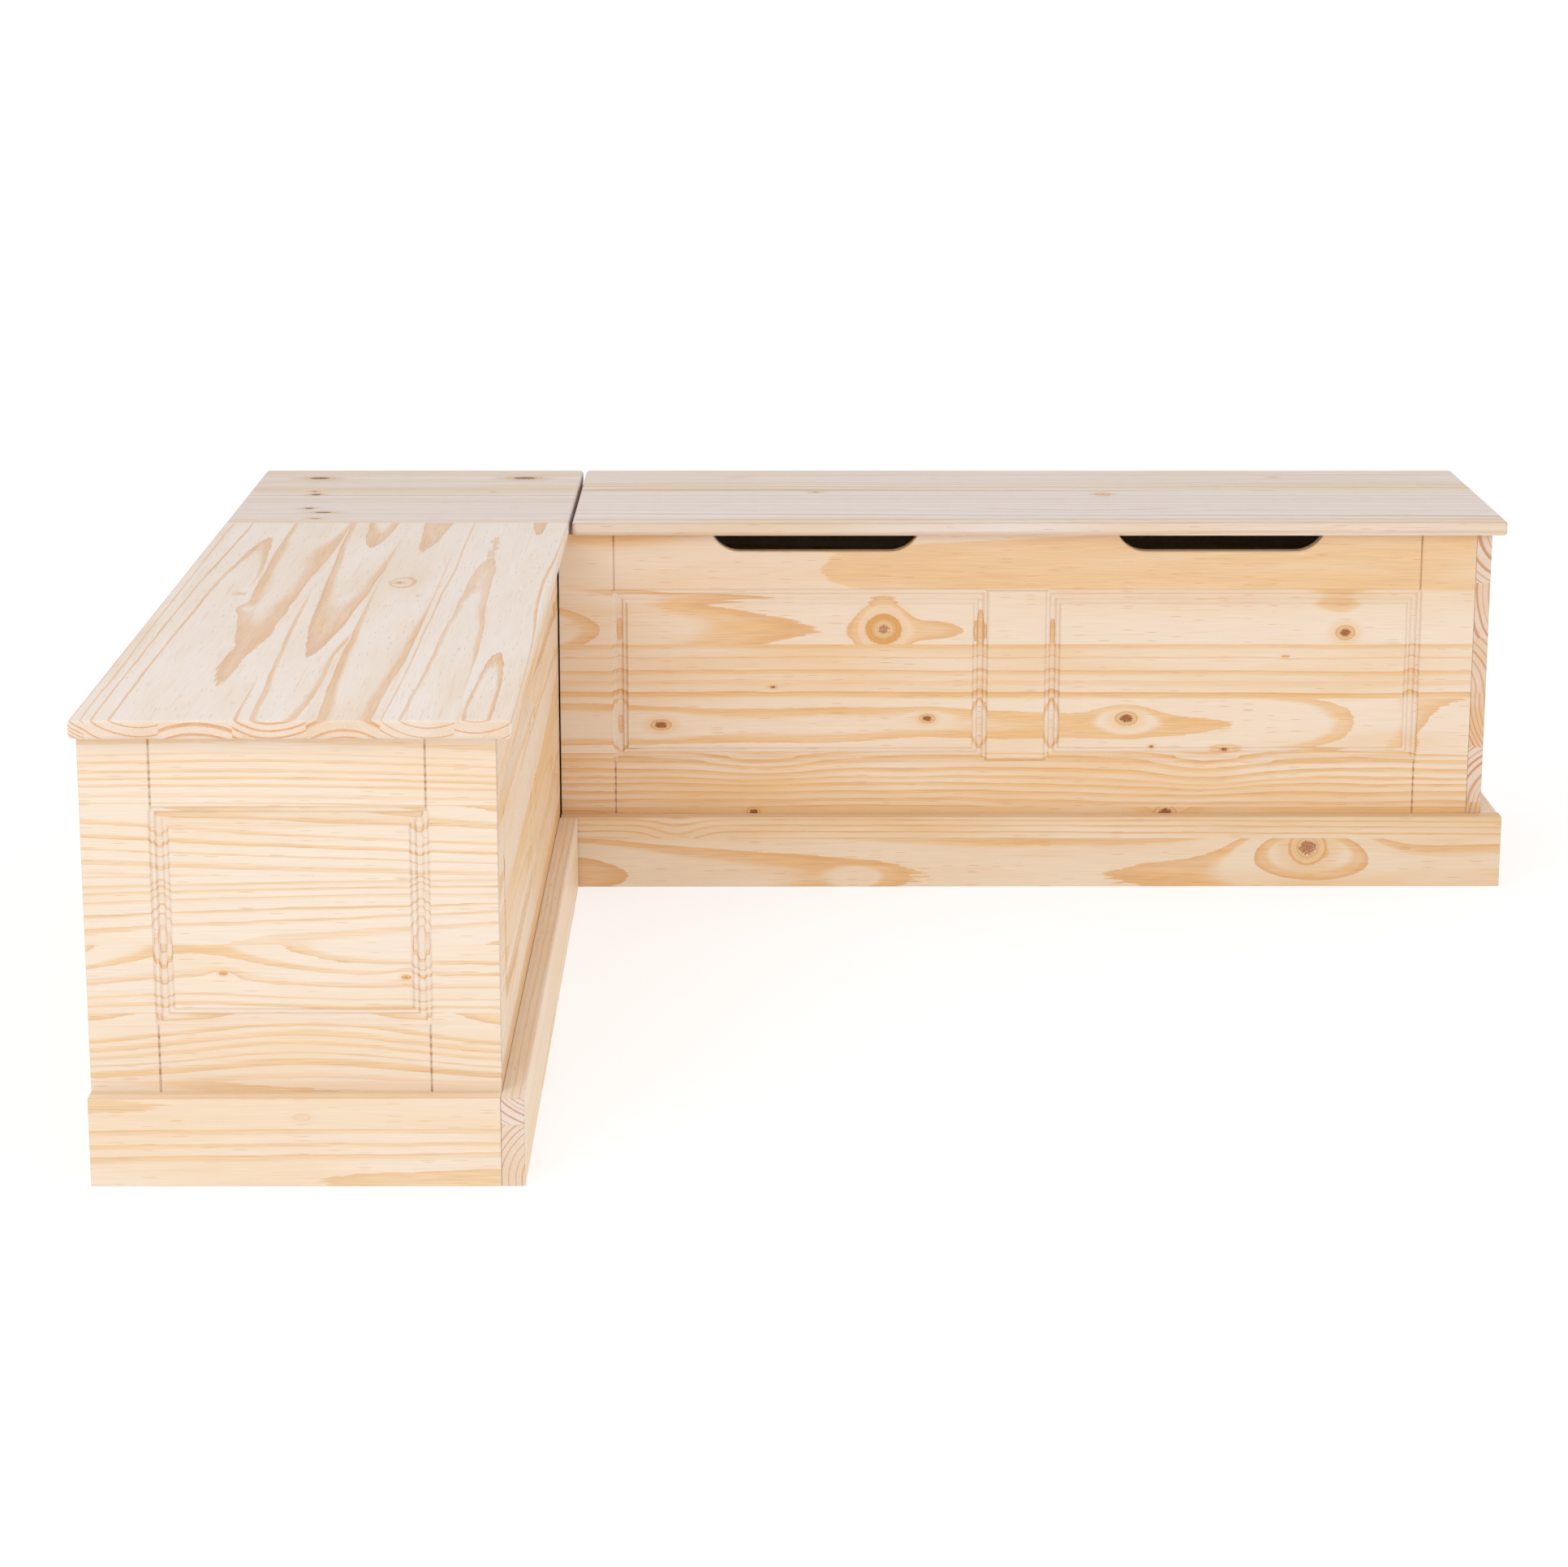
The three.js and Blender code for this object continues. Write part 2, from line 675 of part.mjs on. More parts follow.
// The fixed top and the two cleats that it is screwed to from below.
function addTop(corner, left, right, near, far) {
  const cleatBottom = wallHeight - cleatSize;
  const leftCleat = board([left, near, cleatBottom], [left + cleatSize, far, wallHeight]);
  const rightCleat = board([right - cleatSize, near, cleatBottom], [right, far, wallHeight]);
  addPiece(corner, "corner_top_left_cleat", leftCleat, innerPine);
  addPiece(corner, "corner_top_right_cleat", rightCleat, innerPine);
  const place = [0, chestLength, seatHeight - lidThickness];
  addPiece(corner, "corner_top", softSlab(seatDepth, seatDepth, lidThickness), topPine, place);
}

// The reflection that turns the left arm's drawing into the right arm.
function rightArmMatrix() {
  const swap = new THREE.Matrix4().makeBasis(
    new THREE.Vector3(0, -1, 0),
    new THREE.Vector3(-1, 0, 0),
    new THREE.Vector3(0, 0, 1),
  );
  return swap.setPosition(armLength, armLength, 0);
}

// A cutter moved to the right arm, with its triangles turned round again after the reflection.
function mirrorToRightArm(geometry) {
  const moved = mergeVertices(geometry.clone().applyMatrix4(rightArmMatrix()), mergeDistance);
  moved.setIndex(Array.from(moved.index.array).reverse());
  return moved;
}

const bench = new THREE.Group();
const overall = armLength + plinthProud;
bench.position.set(-overall / 2, plinthProud - overall / 2, 0);

const rightPlinthFace = bodyInnerEnd + unitGap - plinthThickness - clearance;
const leftChest = makeChest("left", rightPlinthFace - unitGap);
const rightChest = makeChest("right", bodyInnerEnd);
rightChest.applyMatrix4(rightArmMatrix());
bench.add(leftChest, rightChest, makeCorner());

export default bench;
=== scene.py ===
"""Looks of a corner storage bench in solid pine: two lidded chests and a square corner unit between them.

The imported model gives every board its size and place. This script dresses each board with its own solid pine,
worked out in three dimensions from the growth rings of the edge-glued staves that it is made of, dresses the
hinges and bolts in zinc-plated steel, adds the screws, and sets the floor, the lights and the camera.
"""

import enum
import logging
import math
from dataclasses import dataclass
from typing import ClassVar, Sequence, Union

import bmesh
import bpy
import numpy as np
from mathutils import Matrix, Vector


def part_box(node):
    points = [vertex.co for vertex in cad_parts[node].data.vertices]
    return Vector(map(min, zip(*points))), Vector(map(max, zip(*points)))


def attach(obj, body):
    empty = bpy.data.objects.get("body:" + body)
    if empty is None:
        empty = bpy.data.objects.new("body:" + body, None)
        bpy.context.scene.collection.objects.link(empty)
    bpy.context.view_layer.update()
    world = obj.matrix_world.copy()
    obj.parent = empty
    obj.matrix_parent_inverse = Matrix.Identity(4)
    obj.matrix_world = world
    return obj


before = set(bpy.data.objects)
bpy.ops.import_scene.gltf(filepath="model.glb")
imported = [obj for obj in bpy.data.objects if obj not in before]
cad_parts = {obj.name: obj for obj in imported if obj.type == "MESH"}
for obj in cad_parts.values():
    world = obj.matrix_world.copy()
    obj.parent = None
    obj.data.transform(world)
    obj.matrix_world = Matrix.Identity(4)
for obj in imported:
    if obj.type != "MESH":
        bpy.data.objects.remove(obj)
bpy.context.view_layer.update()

MILLIMETRE = 0.001
MILLIMETRES_PER_METRE = 1000.0

log = logging.getLogger("corner_bench")


class Axis(enum.IntEnum):
    """One of the three directions of the shared frame."""

    X = 0
    Y = 1
    Z = 2


class Side(enum.Enum):
    """Which chest of the pair a piece belongs to."""

    LEFT = "left"
    RIGHT = "right"


class ScreenCurve:
    """The standard curve from a screen's numbers to light: a straight foot, and a power above it."""

    MOST = 255.0
    FOOT = 0.04045
    FOOT_SLOPE = 12.92
    OFFSET = 0.055
    POWER = 2.4


def linear_colour(red: float, green: float, blue: float) -> tuple[float, float, float, float]:
    """Turns a colour as it shows on a screen into the light values that a shader works with.

    Args:
        red: red, from 0 to 255.
        green: green, from 0 to 255.
        blue: blue, from 0 to 255.

    Returns:
        The linear red, green and blue, and an alpha of one.
    """
    shown = np.array([red, green, blue]) / ScreenCurve.MOST
    high = ((shown + ScreenCurve.OFFSET) / (1 + ScreenCurve.OFFSET)) ** ScreenCurve.POWER
    linear = np.where(shown <= ScreenCurve.FOOT, shown / ScreenCurve.FOOT_SLOPE, high)
    return (*linear.tolist(), 1.0)


@dataclass(frozen=True)
class PineFinish:
    """The colours of one lot of pine, as they show on a screen from 0 to 255, and how satin it is.

    The two cut shares multiply the red, green and blue of wood that is cut across its fibres. The edges are
    rounded by `edge_radius`, in metres, and the fibres stand up by `relief_height`, also in metres.
    """

    early: tuple[int, int, int]
    late: tuple[int, int, int]
    deep: tuple[int, int, int]
    warm: tuple[int, int, int]
    cut_early: tuple[float, float, float] = (0.92, 0.91, 0.97)
    cut_late: tuple[float, float, float] = (0.72, 0.58, 0.60)
    roughness: float = 0.5
    refraction: float = 1.46
    specular: float = 0.2
    coat: float = 0.2
    coat_roughness: float = 0.3
    coat_refraction: float = 1.5
    edge_radius: float = 0.0012
    edge_samples: int = 4
    relief: float = 0.25
    relief_height: float = 0.00012


FRONT_PINE = PineFinish((235, 215, 194), (229, 184, 127), (210, 149, 92), (231, 193, 146))
PLINTH_PINE = PineFinish((228, 206, 181), (220, 172, 115), (202, 140, 84), (223, 183, 134))
END_PINE = PineFinish((236, 219, 201), (231, 195, 151), (214, 166, 114), (234, 207, 174))
LID_PINE = PineFinish(
    (238, 225, 215), (226, 180, 132), (208, 154, 110), (232, 209, 184), (0.92, 0.86, 0.78), (0.88, 0.71, 0.58)
)
SEAT_PINE = PineFinish((230, 217, 211), (208, 173, 138), (184, 144, 114), (226, 204, 177))
INNER_PINE = PineFinish((236, 213, 186), (226, 184, 131), (206, 150, 98), (231, 196, 149))
KNOT_PALE = linear_colour(225, 186, 138)
KNOT_ORANGE = linear_colour(218, 162, 96)
KNOT_BROWN = linear_colour(176, 128, 98)
KNOT_HEART = linear_colour(146, 84, 46)


@dataclass(frozen=True)
class Stave:
    """One strip of an edge-glued board, told by how it was sawn out of its tree, in millimetres.

    The rings are cylinders round the tree's pith. `middle` is how far the pith lies to the side of the
    stave's middle line, `depth` how far it lies above the board's middle plane, and `tilt` how much it rises
    per metre along the grain, which draws the pointed flames. `tip` is a place along the board where a flame
    ends. The more `even` a stave is, the less its rings differ in width and strength.
    """

    middle: float
    depth: float
    tilt: float
    spacing: float
    tip: float = 0.0
    wander: float = 2.0
    late: float = 0.32
    tone: float = 0.0
    even: float = 0.2


@dataclass(frozen=True)
class Knot:
    """A branch that the board cuts through, or a swirl in the rings, in millimetres.

    Its place is told from the board's low corner. `lift` is how far the branch pushes the rings outwards,
    over `reach` across the grain and `reach` times `flow` along it. A darkness of zero leaves only the swirl.
    """

    along: float
    across: float
    radius: float
    stretch: float = 1.3
    lift: float = 6.0
    reach: float = 16.0
    flow: float = 2.6
    darkness: float = 0.8


class Signal:
    """A node's output, which takes part in sums as a number or a vector does."""

    def __init__(self, wiring: "Wiring", socket: bpy.types.NodeSocket) -> None:
        """Keeps the output and notes whether its value has parts.

        Args:
            wiring: the wiring that the node is in.
            socket: the output's socket.
        """
        self.wiring = wiring
        self.socket = socket
        self.has_parts = socket.type in ("VECTOR", "RGBA")

    def __add__(self, other: "Value") -> "Signal":
        """Adds another value."""
        return self.wiring.combine("ADD", self, other)

    def __sub__(self, other: "Value") -> "Signal":
        """Takes another value away."""
        return self.wiring.combine("SUBTRACT", self, other)

    def __rsub__(self, other: "Value") -> "Signal":
        """Is taken away from a plain number."""
        return self.wiring.combine("SUBTRACT", other, self)

    def __mul__(self, other: "Value") -> "Signal":
        """Multiplies by another value."""
        return self.wiring.combine("MULTIPLY", self, other)

    def __truediv__(self, other: "Value") -> "Signal":
        """Divides by another value."""
        return self.wiring.combine("DIVIDE", self, other)


Value = Union[Signal, float, int, Sequence[float]]


class Wiring:
    """Adds nodes to one node tree, so that a formula reads as a sum on signals."""

    VECTOR_OUTPUT = {"LENGTH": "Value", "DOT_PRODUCT": "Value"}

    # The mixing node numbers its sockets in one row for every kind of value.
    NUMBER_INPUTS = (0, 2, 3)
    COLOUR_INPUTS = (0, 6, 7)
    COLOUR_OUTPUT = 2

    def __init__(self, tree: bpy.types.NodeTree) -> None:
        """Takes the tree that the nodes go into."""
        self.tree = tree

    def feed(self, socket: bpy.types.NodeSocket, value: Value) -> None:
        """Joins a signal to an input, or sets the input's own value.

        Args:
            socket: the input that is fed.
            value: a signal, a number, or the numbers of a vector or a colour.
        """
        if isinstance(value, Signal):
            self.tree.links.new(value.socket, socket)
        else:
            socket.default_value = value

    def add(self, kind: str, values: dict[Union[int, str], Value], **settings: object) -> bpy.types.Node:
        """Adds one node.

        Args:
            kind: the node's type.
            values: what goes into its inputs, by name or by number.
            settings: the node's own options.

        Returns:
            The new node.
        """
        node = self.tree.nodes.new(kind)
        for name, setting in settings.items():
            setattr(node, name, setting)
        for key, value in values.items():
            self.feed(node.inputs[key], value)
        return node

    def take(self, node: bpy.types.Node, output: Union[int, str] = 0) -> Signal:
        """Reads one of a node's outputs, by name or by number."""
        return Signal(self, node.outputs[output])

    def math(self, operation: str, *values: Value) -> Signal:
        """Works out one sum on numbers."""
        return self.take(self.add("ShaderNodeMath", dict(enumerate(values)), operation=operation))

    def vector(self, operation: str, *values: Value) -> Signal:
        """Works out one sum on vectors."""
        node = self.add("ShaderNodeVectorMath", dict(enumerate(values)), operation=operation)
        return self.take(node, self.VECTOR_OUTPUT.get(operation, "Vector"))

    def combine(self, operation: str, first: Value, second: Value) -> Signal:
        """Works out a sum of two values, part by part where either of them has parts.

        Args:
            operation: the name of the sum.
            first: the first value.
            second: the second value. A plain number counts for each part alike.

        Returns:
            The result.
        """
        pair = (first, second)
        parts = [value.has_parts if isinstance(value, Signal) else isinstance(value, tuple) for value in pair]
        if not any(parts):
            return self.math(operation, *pair)
        wide = ([value] * 3 if isinstance(value, (int, float)) else value for value in pair)
        return self.vector(operation, *wide)

    def step(self, value: Value, start: Value, end: Value, low: Value = 0.0, high: Value = 1.0) -> Signal:
        """Carries a value smoothly from low, where it is start, to high, where it is end.

        Args:
            value: what is read.
            start: the reading where the result is low.
            end: the reading where the result is high.
            low: the result at the start.
            high: the result at the end.

        Returns:
            The result.
        """
        values = dict(enumerate((value, start, end, low, high)))
        return self.take(self.add("ShaderNodeMapRange", values, interpolation_type="SMOOTHSTEP", clamp=True))

    def noise(self, place: Value, detail: float = 1.0) -> Signal:
        """Reads smooth noise of size one at a place, as a number from 0 to 1."""
        return self.take(self.add("ShaderNodeTexNoise", {"Vector": place, "Scale": 1.0, "Detail": detail}))

    def swing(self, noise: Signal, amplitude: Value) -> Signal:
        """Centres noise on zero and makes it swing by about the amplitude to both sides."""
        return (noise * 2.0 - 1.0) * amplitude

    def mix(self, share: Value, first: Value, second: Value) -> Signal:
        """Mixes two colours: the first where the share is zero, and the second where it is one."""
        values = dict(zip(self.COLOUR_INPUTS, (share, first, second)))
        return self.take(self.add("ShaderNodeMix", values, data_type="RGBA"), self.COLOUR_OUTPUT)

    def blend(self, share: Value, first: Value, second: Value) -> Signal:
        """Mixes two numbers: the first where the share is zero, and the second where it is one."""
        values = dict(zip(self.NUMBER_INPUTS, (share, first, second)))
        return self.take(self.add("ShaderNodeMix", values, data_type="FLOAT"))

    def split(self, vector: Value) -> tuple[Signal, ...]:
        """Splits a vector into its three numbers."""
        node = self.add("ShaderNodeSeparateXYZ", {0: vector})
        return tuple(self.take(node, number) for number in range(3))

    def joined(self, x: Value, y: Value, z: Value) -> Signal:
        """Joins three numbers into a vector."""
        return self.take(self.add("ShaderNodeCombineXYZ", {0: x, 1: y, 2: z}))

    def surface(self, values: dict[Union[int, str], Value]) -> None:
        """Ends a material in one surface shader, which takes the given values."""
        shader = self.add("ShaderNodeBsdfPrincipled", values)
        self.add("ShaderNodeOutputMaterial", {"Surface": self.take(shader, "BSDF")})


def blank_material(name: str) -> tuple[bpy.types.Material, Wiring]:
    """Makes a material with nothing in it.

    Args:
        name: the material's name.

    Returns:
        The material and its wiring.
    """
    material = bpy.data.materials.new(name)
    material.use_nodes = True
    material.node_tree.nodes.clear()
    return material, Wiring(material.node_tree)


@dataclass
class FormulaGroup:
    """A node group that holds one formula, shared by every material that uses it.

    The names of its inputs and outputs are listed under the kinds of value that they carry.
    """

    name: str
    inputs: dict[str, Sequence[str]]
    outputs: dict[str, Sequence[str]]

    def open(self) -> tuple[Wiring, dict[str, Signal]]:
        """Makes the group without its formula.

        Returns:
            The group's wiring, and its inputs by name.
        """
        tree = bpy.data.node_groups.new(self.name, "ShaderNodeTree")
        for direction, sockets in (("INPUT", self.inputs), ("OUTPUT", self.outputs)):
            for kind, names in sockets.items():
                for name in names:
                    tree.interface.new_socket(name, in_out=direction, socket_type=f"NodeSocket{kind}")
        wiring = Wiring(tree)
        entry = wiring.add("NodeGroupInput", {})
        return wiring, {name: wiring.take(entry, name) for names in self.inputs.values() for name in names}


class KnotFormula:
    """How one branch bends the rings round it, and how far each point lies from it.

    The rings are lifted by a bell-shaped hill, the exponential of minus the squared distance from the knot,
    measured in its reach. The distance that is passed on is one at the knot's rim.
    """

    FORM = FormulaGroup(
        "pine_knot",
        {"Vector": ("Place", "Middle", "Core size", "Reach"),
         "Float": ("Stave", "Lift", "Distance", "Darkness", "Own stave", "Height", "Own darkness")},
        {"Float": ("Lift", "Distance", "Darkness")},
    )
    ON_THE_FACE = (1.0, 1.0, 0.0)
    OTHER_STAVE_DISTANCE = 100.0
    SAME_STAVE = 0.4

    def __init__(self) -> None:
        """Builds the group once."""
        wiring, read = self.FORM.open()
        offset = (read["Place"] - read["Middle"]) * self.ON_THE_FACE
        same = wiring.math("COMPARE", read["Stave"], read["Own stave"], self.SAME_STAVE)
        hill = offset / read["Reach"]
        fall = wiring.math("EXPONENT", wiring.vector("DOT_PRODUCT", hill, hill) * -1.0)
        core = wiring.vector("LENGTH", offset / read["Core size"])
        distance = core + (1.0 - same) * self.OTHER_STAVE_DISTANCE
        nearer = wiring.math("LESS_THAN", distance, read["Distance"])
        self.tree = wiring.tree
        wiring.add("NodeGroupOutput", {
            "Lift": read["Lift"] + fall * read["Height"] * same,
            "Distance": wiring.math("MINIMUM", distance, read["Distance"]),
            "Darkness": wiring.blend(nearer, read["Darkness"], read["Own darkness"]),
        })


class Coding:
    """Packs the numbers of a stave into the three channels of a colour stop, each from 0 to 1."""

    SHAPE = ((-160.0, 160.0), (-240.0, 240.0), (-60.0, 60.0))
    GROWTH = ((0.0, 24.0), (0.0, 12.0), (-1.0, 1.0))
    HABIT = ((0.0, 1.0), (0.0, 1.0), (0.0, 1.0))

    @staticmethod
    def packed(values: Sequence[float], ranges: Sequence[tuple[float, float]]) -> tuple[float, ...]:
        """Returns the values as shares of their ranges, with an alpha of one."""
        shares = [(value - low) / (high - low) for value, (low, high) in zip(values, ranges)]
        return (*np.clip(shares, 0.0, 1.0).tolist(), 1.0)

    @staticmethod
    def unpacked(wiring: Wiring, colour: Value, ranges: Sequence[tuple[float, float]]) -> tuple[Signal, ...]:
        """Returns the values that the channels of a colour stand for."""
        channels = wiring.split(colour)
        return tuple(channel * (high - low) + low for channel, (low, high) in zip(channels, ranges))


class PineFormula:
    """Solid pine in three dimensions: growth rings round a pith, fibres, resin ducts, knots and end grain.

    A point's distance from the pith line, bent by slow, middling and fine noise along the grain and lifted
    by the knots, is divided by the ring spacing. Its whole part numbers the ring, and the rest tells how far
    through the year it grew: pale at first, then darkening to a line that ends sharply.
    """

    FORM = FormulaGroup(
        "pine_wood",
        {"Vector": ("Place", "Shape", "Growth", "Habit"),
         "Float": ("Stave", "Lift", "Distance", "Darkness", "Cut across", "Roughness"),
         "Color": ("Early", "Late", "Deep", "Warm", "Cut early", "Cut late")},
        {"Color": ("Colour",), "Float": ("Roughness", "Height")},
    )

    # Waves of noise to a millimetre, along the grain, across it and through the board.
    SLOW = (1 / 420, 1 / 110, 1 / 110)
    MIDDLING = (1 / 130, 1 / 30, 1 / 30)
    RAGGED = (1 / 24, 1 / 2.4, 1 / 2.4)
    FIBRE = (1 / 46, 1 / 0.9, 1 / 0.9)
    CLOUD = (1 / 300, 1 / 45, 1 / 45)
    MOTTLE = (1 / 150, 1 / 11, 1 / 11)
    DUCT = (1 / 30, 1 / 1.3, 1 / 1.3)
    STREAK = (1 / 90, 1 / 2.4, 1 / 2.4)
    PORE = (1 / 2, 2.2, 2.2)
    KNOT_GRAIN = (1 / 2.6, 1 / 1.7, 1 / 4.0)
    SMOOTH = 1.0
    FINE = 2.0
    FINEST = 3.0
    STAVE_JUMP = (211.0, 97.0, 53.0)

    # How much the noises bend the rings: a share of the stave's wander, and millimetres.
    MIDDLING_WANDER = 0.45
    RAGGED_WANDER = 0.4

    # Rings. Where four numbers stand together, they are a step's start, end, low and high.
    PACE = 0.37
    PACE_SWING = 0.45
    WIDTH_BY_LUCK = (0.35, 1.65)
    STRENGTH_BY_LUCK = (0.35, 1.0)
    EVEN_STRENGTH = 0.82
    RIPE_PART = 0.5
    EDGE_PART = 0.4
    EDGE_FULL = 0.98
    YEAR_ENDS = (0.99, 1.0, 1.0, 0.0)

    # Colours of clear wood.
    MOTTLED = (0.3, 0.7, 0.74, 1.08)
    WARMED = (0.28, 0.95)
    TONE_WEIGHT = 0.45
    EDGE_SHARE = 0.4
    STREAKED = (0.56, 0.8)
    STREAK_SHARE = 0.45
    FIBRE_SHADE = 0.09
    LATE_FIBRE_SHADE = 0.16
    DUCT_CHANCE = 0.1
    DUCT_SPOT = (0.2, 0.34, 1.0, 0.0)
    DUCT_SHARE = 0.6
    PORE_SHADES = (0.92, 1.08)

    # Knots, with distances in radii of the knot. Steps on the darkness tell a faint knot from a dark one, and
    # each brown ring has a radius and a strength.
    JAGGED = 0.34
    UNEVEN = 0.12
    KNOT_SHOWS = (0.0, 0.4)
    KNOT_DISC = (0.92, 1.05, 1.0, 0.0)
    HALO = (0.95, 2.3, 1.0, 0.0)
    HALO_SHARE = 0.55
    HALO_LATE = 0.8
    RING_WAVES = 34.0
    RING_SHADES = (0.98, 0.05)
    ORANGE_FROM = (0.45, 0.6, 0.5, 0.8)
    ORANGE_WIDTH = 0.18
    BROWN_RINGS = ((0.56, 0.5), (0.98, 0.55))
    BROWN_RING_WIDTH = 0.07
    BROWN_SHOWS = (0.4, 0.7, 0.3, 1.0)
    HEART_SIZE = 0.68
    HEART_RIM = 0.8
    HEART_SHARE = 0.94
    HEART_TURNS = (0.45, 0.8)
    HEART_GRAIN = 1.8
    HEART_SHADE = (0.88, 0.97, 0.2, -0.42)

    # The surface: how the fibres and the knots change the roughness and the height.
    FIBRE_ROUGHNESS = 0.16
    KNOT_ROUGHNESS = -0.08
    LATE_HEIGHT = 0.6
    FIBRE_HEIGHT = 0.5

    def __init__(self) -> None:
        """Builds the group once."""
        self.wiring, self.read = self.FORM.open()
        self.own_place = self.read["Place"] + self.read["Stave"] * self.STAVE_JUMP
        late, edge, tone = self.rings()
        fibre = self.grain_noise(self.FIBRE, self.FINE)
        colour = self.wood_colour(late, edge, tone, fibre)
        colour, knot = self.knots(self.end_grain(colour, late))
        roughness = self.read["Roughness"] + (fibre - 0.5) * self.FIBRE_ROUGHNESS + knot * self.KNOT_ROUGHNESS
        height = late * self.LATE_HEIGHT + fibre * self.FIBRE_HEIGHT
        self.tree = self.wiring.tree
        self.wiring.add("NodeGroupOutput", {"Colour": colour, "Roughness": roughness, "Height": height})

    def grain_noise(self, waves: tuple[float, float, float], detail: float = SMOOTH) -> Signal:
        """Reads noise that is stretched along the grain, and different in each stave."""
        return self.wiring.noise(self.own_place * waves, detail)

    def pith_distance(self, wander: Signal, middle: Signal, depth: Signal, tilt: Signal) -> Signal:
        """Works out how far a point grew from the pith, with all that bends the rings.

        Args:
            wander: how far the rings stray.
            middle: how far the pith lies to the side.
            depth: how far the pith lies above the board's middle plane.
            tilt: how much the pith rises per metre.

        Returns:
            The distance in millimetres.
        """
        wiring = self.wiring
        along, across, rise = wiring.split(self.read["Place"])
        below = depth + along * tilt * MILLIMETRE - rise
        distance = wiring.vector("LENGTH", wiring.joined(across - middle, below, 0.0))
        slow = wiring.swing(self.grain_noise(self.SLOW), wander)
        middling = wiring.swing(self.grain_noise(self.MIDDLING), wander * self.MIDDLING_WANDER)
        ragged = wiring.swing(self.grain_noise(self.RAGGED, self.FINE), self.RAGGED_WANDER)
        return distance + slow + middling + ragged + self.read["Lift"]

    def rings(self) -> tuple[Signal, Signal, Signal]:
        """Works out the rings.

        Returns:
            The share of late wood, the share of the sharp line that ends each ring, and the stave's tone.
        """
        wiring, read = self.wiring, self.read
        middle, depth, tilt = Coding.unpacked(wiring, read["Shape"], Coding.SHAPE)
        spacing, wander, tone = Coding.unpacked(wiring, read["Growth"], Coding.GROWTH)
        phase, late_share, even = Coding.unpacked(wiring, read["Habit"], Coding.HABIT)
        years = self.pith_distance(wander, middle, depth, tilt) / spacing
        pace = wiring.take(wiring.add(
            "ShaderNodeTexNoise", {"W": years * self.PACE + read["Stave"], "Scale": 1.0, "Detail": 0.0},
            noise_dimensions="1D",
        ))
        years = years + phase + wiring.swing(pace, self.PACE_SWING)
        year = wiring.math("FLOOR", years)
        season = years - year
        own_year = wiring.joined(year, read["Stave"], 0.0)
        luck = wiring.add("ShaderNodeTexWhiteNoise", {"Vector": own_year}, noise_dimensions="2D")
        width_luck, strength_luck, edge_luck = wiring.split(wiring.take(luck, "Color"))
        width = late_share * wiring.blend(even, wiring.blend(width_luck, *self.WIDTH_BY_LUCK), 1.0)
        strength = wiring.blend(even, wiring.blend(strength_luck, *self.STRENGTH_BY_LUCK), self.EVEN_STRENGTH)
        before_end = wiring.step(season, *self.YEAR_ENDS)
        late = wiring.step(season, 1.0 - width, 1.0 - width * self.RIPE_PART) * strength * before_end
        edge = wiring.step(season, 1.0 - width * self.EDGE_PART, self.EDGE_FULL) * edge_luck * before_end
        return late, edge, tone

    def wood_colour(self, late: Signal, edge: Signal, tone: Signal, fibre: Signal) -> Signal:
        """Colours clear wood from the rings, with slow clouds, fine fibres and short resin ducts.

        Args:
            late: the share of late wood.
            edge: the share of the line that ends a ring.
            tone: how warm the stave is.
            fibre: the fibres' noise.

        Returns:
            The colour.
        """
        wiring, read = self.wiring, self.read
        late = late * wiring.step(self.grain_noise(self.MOTTLE, self.FINEST), *self.MOTTLED)
        cloud = self.grain_noise(self.CLOUD, self.FINE) + tone * self.TONE_WEIGHT
        colour = wiring.mix(wiring.step(cloud, *self.WARMED), read["Early"], read["Warm"])
        colour = wiring.mix(late, colour, read["Late"])
        colour = wiring.mix(edge * self.EDGE_SHARE, colour, read["Deep"])
        streak = wiring.step(self.grain_noise(self.STREAK, self.FINEST), *self.STREAKED) * self.STREAK_SHARE
        colour = wiring.mix(streak, colour, wiring.mix(late, read["Late"], read["Deep"]))
        shade = wiring.swing(fibre, late * self.LATE_FIBRE_SHADE + self.FIBRE_SHADE) + 1.0
        ducts = wiring.add("ShaderNodeTexVoronoi", {"Vector": self.own_place * self.DUCT, "Scale": 1.0})
        luck = wiring.split(wiring.take(ducts, "Color"))[0]
        duct = wiring.step(wiring.take(ducts, "Distance"), *self.DUCT_SPOT)
        duct = duct * wiring.math("LESS_THAN", luck, self.DUCT_CHANCE) * self.DUCT_SHARE
        return wiring.mix(duct, colour, read["Deep"]) * shade

    def end_grain(self, colour: Signal, late: Signal) -> Signal:
        """Darkens and reddens the wood where the saw cut across the fibres, the late wood most.

        Args:
            colour: the wood's colour along the fibres.
            late: the share of late wood.

        Returns:
            The colour with the end grain in it.
        """
        wiring, read = self.wiring, self.read
        pores = wiring.blend(wiring.noise(self.own_place * self.PORE, self.FINE), *self.PORE_SHADES)
        tint = wiring.mix(late, read["Cut early"], read["Cut late"])
        return wiring.mix(read["Cut across"], colour, colour * tint * pores)

